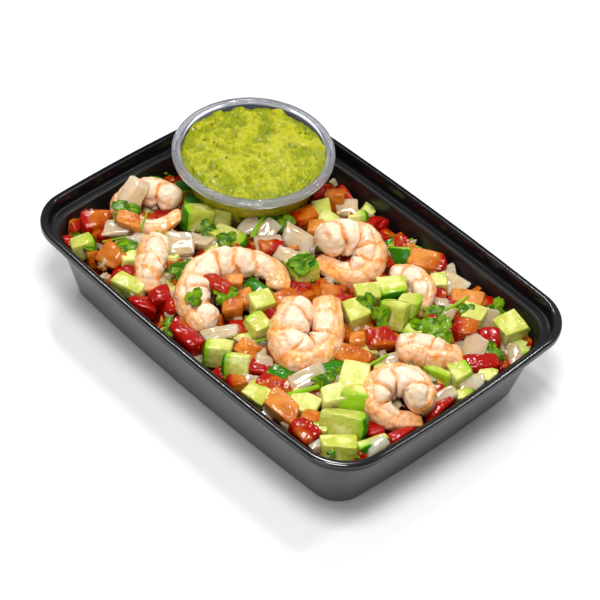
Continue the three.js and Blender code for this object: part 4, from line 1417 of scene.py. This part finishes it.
# Stems: pixel, length and thickness in mm, turn, tilt, heading, lift in mm, tone.
STEMS = [
    (171, 247, 16, 1.6, -68, 10, 0, 6, 0.8),
    (163, 238, 10, 1.3, -55, 10, 0, 5, 0.5),
    (144, 221, 12, 1.1, 78, 25, 0, 9, 0.1),
    (116, 239, 13, 1.0, 20, 10, 0, 6, 0.1),
    (258, 226, 14, 2.4, 68, 20, 0, 6, 0.9),
    (303, 391, 15, 2.6, 25, 10, 0, 7.5, 0.7),
    (377, 361, 12, 1.5, 40, 5, 0, 5, 0.6),
    (457, 304, 14, 1.7, 42, 5, 0, 8, 0.8),
    (258, 341, 9, 1.0, 20, 5, 0, 4, 0.5),
    (112, 247, 10, 1.2, 30, 5, 0, 6, 0.4),
]


# ---- Keeping the pieces in place ---------------------------------------------------------------


def press_into_tray(shape, skip=0.3 * MM):
    """Moves what would pass through the tray's inner wall to just inside it."""
    tray = settings().tray
    ledge = TRAY_HIGH.z - tray.ledge_drop - MM
    for vert in shape.verts:
        inset = wall_inset(min(vert.co.z, ledge)) + skip
        corner = tray.base_corner + 2 * MM
        half_x = TRAY_HIGH.x - tray.side_bow - inset
        half_y = TRAY_HIGH.y - tray.side_bow - inset
        x, y = vert.co.x, vert.co.y
        bow = tray.side_bow
        limit_x = half_x + bow * max(1 - (y / half_y) ** 2, 0)
        limit_y = half_y + bow * max(1 - (x / half_x) ** 2, 0)
        x, y = max(-limit_x, min(limit_x, x)), max(-limit_y, min(limit_y, y))
        over_x, over_y = abs(x) - (half_x - corner), abs(y) - (half_y - corner)
        reach = math.hypot(over_x, over_y)
        if over_x > 0 and over_y > 0 and reach > corner:
            x -= math.copysign(over_x * (1 - corner / reach), x)
            y -= math.copysign(over_y * (1 - corner / reach), y)
        vert.co.x, vert.co.y = x, y


def push_off_cup(shape, clear=0.25 * MM):
    """Moves what would pass into the cup out to just beside its wall."""
    cup = settings().cup
    back = cup_matrix()
    to_cup = back.inverted()
    for vert in shape.verts:
        point = to_cup @ vert.co
        if not 0 < point.z < cup.height:
            continue
        away = math.hypot(point.x, point.y)
        wall = cup_wall(min(point.z, cup.height - 2 * MM)) + clear
        if 1e-6 < away < wall:
            point.x *= wall / away
            point.y *= wall / away
            vert.co = back @ point


def shrimp_lines():
    """Every shrimp's radius and points along its line, in metres."""
    lines = []
    for radius, _, spine in SHRIMPS.values():
        path = Path([Vector(point) * MM for point in spine])
        lines.append((radius * MM, [path.at(step / 16)[0] for step in range(17)]))
    return lines


def is_open_ground(point, reach, lines, room):
    """Whether a filler at a point is clear of the shrimps, the cup and the tray's wall."""
    cup = settings().cup
    half_x, half_y = room
    if abs(point.x) > half_x - reach or abs(point.y) > half_y - reach:
        return False
    middle = cup_matrix() @ Vector((0, 0, 0))
    if math.hypot(point.x - middle.x, point.y - middle.y) < cup.base_radius + 4 * MM + reach * 0.6:
        return False
    return all(
        math.hypot(point.x - other.x, point.y - other.y) > radius * 0.75 + reach * 0.35
        for radius, points in lines for other in points
    )


def filler_places(draw, count, taken):
    """Random places between the main pieces, each apart from the ones before it."""
    inset = wall_inset(settings().heap.edge)
    room = (TRAY_HIGH.x - inset, TRAY_HIGH.y - inset)
    lines = shrimp_lines()
    places = []
    for _ in range(count * 12):
        if len(places) >= count:
            break
        size = draw.uniform(7, 11) * MM
        point = Vector((draw.uniform(-room[0], room[0]), draw.uniform(-room[1], room[1]), 0))
        near = any((point - other).to_2d().length < apart + size * 0.2 for other, apart in taken)
        near = near or any((point - other).to_2d().length < 0.52 * size for other, _ in places)
        reach = size * (0.66 if point.y > 0 else 0.48)
        if near or not is_open_ground(point, reach, lines, room):
            continue
        places.append((point, size))
    return places


# ---- Operators ---------------------------------------------------------------------------------

FLECK_TRIES = 200
CRUMBS = 520
CRUMB_KINDS = ("seeds", "cilantro", "cilantro", "onion", "onion", "tomato")
TOMATO_CUT = {"skew": 0.34, "round_off": 0.8 * MM, "bulge": 0.1}
CRUMB_CUT = {"cuts": 0, "skew": 0.4, "round_off": 0.25 * MM, "bulge": 0}
# The fillers: a draw up to each of these numbers makes that kind, and a higher one a leaf.
FILLER_DRAWS = {"cucumber": 0.22, "tomato": 0.76, "onion": 0.9}
# What the salad's pieces are gathered in: name of the piece, finish and slot.
PILES = {
    "cucumber": ("cucumber_dice", cucumber_flesh, "cucumber"),
    "tomato": ("tomato_dice", tomato_flesh, "tomato"),
    "onion": ("onion_petals", onion_flesh, "onion"),
    "cilantro": ("cilantro", herb_green, "cilantro"),
    "seeds": ("tomato_seeds", seed_gloss, "tomato"),
}
LIGHT_AIM = Vector((0, 0, 0.02))
# Each lamp: place, width and height in metres, and the setting that its power is a share of.
LAMPS = {
    "front_softbox": ((0.2, -1.0, 0.6), 0.6, 0.6, "fill", 1),
    "glint_lamp": ((-0.56, 0.2, 0.92), 0.05, 0.3, "glint", 1),
    "edge_lamp": ((0.3, 0.55, 0.9), 0.05, 0.25, "glint", 0.6),
    "sparkle_lamp_1": ((-0.39, 0.42, 1.0), 0.08, 0.08, "sparkle", 1),
    "sparkle_lamp_2": ((-0.09, 0.69, 0.93), 0.08, 0.08, "sparkle", 1),
}


class BuildTray(Operator):
    """Builds the black tray with its rim, lid recess, ledge and rounded foot"""

    bl_idname = "ceviche.build_tray"
    bl_label = "Build Tray"

    def execute(self, context):
        shape = squared_lathe(tray_profile())
        shape.normal_update()
        top = TRAY_HIGH.z - 4 * MM

        # The outer wall below the lip, which the material paints lighter as a painted reflection of the
        # floor.
        def outside(vert):
            away = Vector((*vert.co.xy, 0)).normalized()
            faces_out = smoothstep(vert.normal.dot(away), 0.2, 0.5)
            return faces_out * (1 - smoothstep(vert.co.z, top - MM, top))

        mark(shape, "depth", outside)
        show("tray", shape, black_plastic(), ["container"])
        return {"FINISHED"}


class BuildCup(Operator):
    """Builds the clear cup that stands in the tray's corner"""

    bl_idname = "ceviche.build_cup"
    bl_label = "Build Cup"

    def execute(self, context):
        cup = settings().cup
        top = cup.height
        shape = round_lathe(cup_profile(), CUP_COLUMNS)
        mark(shape, "height", lambda vert: smoothstep(vert.co.z, top - 6 * MM, top - 2 * MM))

        # Marks the band inside the rim that the material paints dark, as painted shade.
        def inner_band(vert):
            inside = vert.co.to_2d().length < cup_wall(vert.co.z) - 0.4 * cup.skin
            return float(inside and top - 9 * MM < vert.co.z < top - 1.1 * MM)

        mark(shape, "crease", inner_band)
        bmesh.ops.transform(shape, matrix=cup_matrix(), verts=shape.verts)
        show("cup", shape, clear_plastic(), ["dip_cup"])
        return {"FINISHED"}


class BuildGuacamole(Operator):
    """Builds the lumpy guacamole in the cup and the flecks in it"""

    bl_idname = "ceviche.build_guacamole"
    bl_label = "Build Guacamole"

    def execute(self, context):
        draw = random.Random(settings().heap.seed + 1)
        shape, top_radius = dip_shape()
        tops = [vert.co.copy() for vert in shape.verts if vert.co.z > settings().cup.height - 7 * MM]
        flecks = Crowd()
        for _ in range(FLECK_TRIES):
            spot = draw.choice(tops)
            if not draw.random() * top_radius < spot.to_2d().length < top_radius * 0.97:
                continue
            turn = Matrix.Rotation(draw.uniform(0, FULL_TURN), 4, Vector((draw.random(), 0.3, 1)))
            bit = small_bit(draw.uniform(0.5, 1.5) ** 2 * 0.8 * MM, draw)
            flecks.add(bit, Matrix.Translation(spot) @ turn, draw.random())
        bmesh.ops.transform(shape, matrix=cup_matrix(), verts=shape.verts)
        show("guacamole_mash", shape, guacamole_flesh(), ["guacamole"])
        fleck_shape = flecks.finish()
        bmesh.ops.transform(fleck_shape, matrix=cup_matrix(), verts=fleck_shape.verts)
        show("guacamole_flecks", fleck_shape, fleck_skin(), ["guacamole"])
        return {"FINISHED"}


class BuildCore(Operator):
    """Builds the juicy mass under and between the salad's pieces"""

    bl_idname = "ceviche.build_core"
    bl_label = "Build Salad Core"

    def execute(self, context):
        show("salad_core", core_shape(), juicy_core(), ["salad"])
        return {"FINISHED"}


class BuildShrimps(Operator):
    """Builds the peeled shrimps"""

    bl_idname = "ceviche.build_shrimps"
    bl_label = "Build Shrimps"

    def execute(self, context):
        material = shrimp_flesh()
        for seed, (name, (radius, tail, spine)) in enumerate(SHRIMPS.items(), start=1):
            shape = shrimp_shape(radius, tail, spine, seed)
            show(name + "_flesh", shape, material, [name])
        return {"FINISHED"}


def lay(crowd, shape, pixel, lift, turned, tone):
    """Adds a piece at the point of the heap that the camera sees at a pixel. Gives the point."""
    point = seen_on_heap(*pixel, lift * MM)
    crowd.add(shape, Matrix.Translation(point) @ facing(*turned), tone)
    return point


def lay_block(crowd, row, draw, **cut):
    """Adds one block of a table. Gives its point and how far it takes up the heap round it."""
    *pixel, edges, turn, tilt, heading, rind, lift, tone, peeled = row
    edges = [edge * MM for edge in edges]
    shape = cut_block(edges, rind, draw, **cut)
    if peeled:
        layer = shape.verts.layers.float["depth"]
        for vert in shape.verts:
            vert[layer] += 0.9
    point = lay(crowd, shape, pixel, lift, (turn, tilt, heading), tone)
    return point, max(edges) * 0.42


class BuildSalad(Operator):
    """Builds the cucumber, tomato, onion and cilantro, first the main pieces and then the fillers"""

    bl_idname = "ceviche.build_salad"
    bl_label = "Build Salad"

    def execute(self, context):
        draw = random.Random(settings().heap.seed)
        crowds = {kind: Crowd() for kind in PILES}
        taken = [lay_block(crowds["cucumber"], row, draw) for row in CUCUMBERS]
        taken += [lay_block(crowds["tomato"], row, draw, **TOMATO_CUT) for row in TOMATOES]
        for *pixel, (long_, wide, thick), bend, turn, tilt, heading, lift, tone in ONIONS:
            shape = onion_petal(long_ * MM, wide * MM, thick * 1.35 * MM, bend, draw)
            point = lay(crowds["onion"], shape, pixel, lift, (turn, tilt, heading), tone)
            taken.append((point, long_ * MM * 0.35))
        for *pixel, size, turn, tilt, heading, lift, tone, fold in LEAVES:
            shape = herb_leaf(size * MM, draw, fold)
            lay(crowds["cilantro"], shape, pixel, lift, (turn, tilt, heading), tone)
        for *pixel, long_, thick, turn, tilt, heading, lift, tone in STEMS:
            shape = herb_stem(long_ * MM, thick * MM / 2, draw)
            lay(crowds["cilantro"], shape, pixel, lift, (turn, tilt, heading), tone)
        self.add_fillers(crowds, draw, taken)
        self.add_crumbs(crowds, draw)
        for kind, (name, finish, slot) in PILES.items():
            shape = crowds[kind].finish()
            press_into_tray(shape)
            push_off_cup(shape)
            show(name, shape, finish(), ["salad"])
        return {"FINISHED"}

    def add_fillers(self, crowds, draw, taken):
        """Smaller pieces deeper in the heap, so that no bare core shows."""
        for point, size in filler_places(draw, settings().heap.fillers, taken):
            drawn = draw.random()
            turn, heading = draw.uniform(0, 360), draw.uniform(0, 360)
            point.z = heap_top(point.x, point.y) + draw.uniform(-3.0, 0.4) * MM
            place = Matrix.Translation(point) @ facing(turn, draw.uniform(0, 40), heading)
            edges = [size * draw.uniform(0.75, 1.1) for _ in range(3)]
            rind = draw.choice(["none", "none", "left", "top", "front"])
            if drawn < FILLER_DRAWS["cucumber"]:
                crowds["cucumber"].add(cut_block(edges, rind, draw, cuts=1), place, draw.random())
            elif drawn < FILLER_DRAWS["tomato"]:
                block = cut_block(edges, rind, draw, cuts=1, **TOMATO_CUT)
                crowds["tomato"].add(block, place, draw.random() * 0.45)
            elif drawn < FILLER_DRAWS["onion"]:
                petal = onion_petal(size * 1.1, size * 0.8, 3.4 * MM, draw.uniform(0.4, 1), draw)
                crowds["onion"].add(petal, place, draw.random())
            else:
                crowds["cilantro"].add(herb_leaf(size * 1.2, draw), place, draw.random())

    def add_crumbs(self, crowds, draw):
        """Herb, onion and tomato crumbs and tomato seeds strewn over the heap."""
        inset = wall_inset(settings().heap.edge) + 3 * MM
        for _ in range(CRUMBS):
            x = draw.uniform(-1, 1) * (TRAY_HIGH.x - inset)
            y = draw.uniform(-1, 1) * (TRAY_HIGH.y - inset)
            if cup_depth(x, y) is not None:
                continue
            spot = Vector((x, y, heap_top(x, y) + draw.uniform(0, 4) * MM))
            turn = facing(draw.uniform(0, 360), draw.uniform(0, 40), draw.uniform(0, 360))
            kind = draw.choice(CRUMB_KINDS)
            if kind in ("seeds", "cilantro"):
                bit = small_bit(draw.uniform(1.2, 2.6) * MM, draw)
            else:
                edges = [draw.uniform(2, 5) * MM for _ in range(3)]
                bit = cut_block(edges, "none", draw, **CRUMB_CUT)
            crowds[kind].add(bit, Matrix.Translation(spot) @ turn, draw.random())


def soft_light(name, place, wide, high, power):
    """A rectangular softbox, turned to the middle of the dish."""
    lamp = bpy.data.lights.new(name, "AREA")
    lamp.shape = "RECTANGLE"
    lamp.size, lamp.size_y = wide, high
    lamp.energy = power
    light = bpy.data.objects.new(name, lamp)
    light.location = place
    light.rotation_mode = "QUATERNION"
    light.rotation_quaternion = (LIGHT_AIM - Vector(place)).to_track_quat("-Z", "Y")
    bpy.context.scene.collection.objects.link(light)


class BuildStage(Operator):
    """Builds the floor, the lights and the camera"""

    bl_idname = "ceviche.build_stage"
    bl_label = "Build Stage"

    def execute(self, context):
        self.add_floor(context)
        self.add_lights(context)
        self.add_camera(context)
        context.scene.view_settings.view_transform = "Standard"
        return {"FINISHED"}

    def add_floor(self, context):
        shape = bmesh.new()
        bmesh.ops.create_circle(shape, cap_ends=True, segments=96, radius=3.0)
        mesh = bpy.data.meshes.new("floor")
        shape.to_mesh(mesh)
        shape.free()
        white = settings().stage.floor
        dim = [part * 0.985 for part in white]
        nodes = Surface("floor")
        nodes.dress(Base_Color=nodes.mix(nodes.noise(nodes.place(), 3.0), white, dim))
        nodes.dress(Roughness=0.9, Specular_IOR_Level=0.2)
        mesh.materials.append(nodes.material)
        floor = bpy.data.objects.new("floor", mesh)
        context.scene.collection.objects.link(floor)

    def add_lights(self, context):
        stage = settings().stage
        world = bpy.data.worlds.new("studio")
        world.use_nodes = True
        background = world.node_tree.nodes["Background"]
        background.inputs["Color"].default_value = (1, 1, 1, 1)
        background.inputs["Strength"].default_value = stage.sky
        context.scene.world = world
        right, _, back = camera_axes()
        forward = Vector((back.x, back.y, 0)).normalized()
        overhead = Vector((0, 0, 0.95)) + 0.3 * forward - 0.03 * right
        soft_light("overhead_softbox", overhead, 0.3, 0.3, stage.key)
        for name, (place, wide, high, field, share) in LAMPS.items():
            soft_light(name, place, wide, high, getattr(stage, field) * share)

    def add_camera(self, context):
        right, up, back = camera_axes()
        lens = bpy.data.cameras.new("camera")
        lens.lens = CAMERA_LENS
        lens.sensor_width = CAMERA_SENSOR
        lens.clip_start, lens.clip_end = 0.05, 20
        camera = bpy.data.objects.new("camera", lens)
        turn = Matrix((right, up, back)).transposed().to_4x4()
        camera.matrix_world = Matrix.Translation(CAMERA_TARGET + back * CAMERA_DISTANCE) @ turn
        context.scene.collection.objects.link(camera)
        context.scene.camera = camera


class CevichePanel(Panel):
    """Buttons and settings of the dish"""

    bl_idname = "VIEW3D_PT_ceviche"
    bl_label = "Shrimp Ceviche"
    bl_space_type = "VIEW_3D"
    bl_region_type = "UI"
    bl_category = "Ceviche"

    def draw(self, context):
        for operator in BUILDERS:
            self.layout.operator(operator.bl_idname)
        for name in ("tray", "cup", "heap", "produce", "shrimp", "stage"):
            group = getattr(context.scene.dish, name)
            box = self.layout.box()
            box.label(text=name.title())
            for field in group.bl_rna.properties:
                if not field.is_readonly and field.identifier != "name":
                    box.prop(group, field.identifier)


GROUPS = (
    TraySettings, CupSettings, HeapSettings, ProduceSettings, ShrimpSettings, StageSettings,
    DishSettings,
)
BUILDERS = (BuildTray, BuildCup, BuildGuacamole, BuildCore, BuildShrimps, BuildSalad, BuildStage)


def register():
    for item in (*GROUPS, *BUILDERS, CevichePanel):
        bpy.utils.register_class(item)
    bpy.types.Scene.dish = PointerProperty(type=DishSettings)


def unregister():
    del bpy.types.Scene.dish
    for item in reversed((*GROUPS, *BUILDERS, CevichePanel)):
        bpy.utils.unregister_class(item)


def main():
    """Builds the whole dish."""
    register()
    bpy.ops.ceviche.build_tray()
    bpy.ops.ceviche.build_cup()
    bpy.ops.ceviche.build_guacamole()
    bpy.ops.ceviche.build_core()
    bpy.ops.ceviche.build_shrimps()
    bpy.ops.ceviche.build_salad()
    bpy.ops.ceviche.build_stage()


if __name__ == "__main__":
    main()
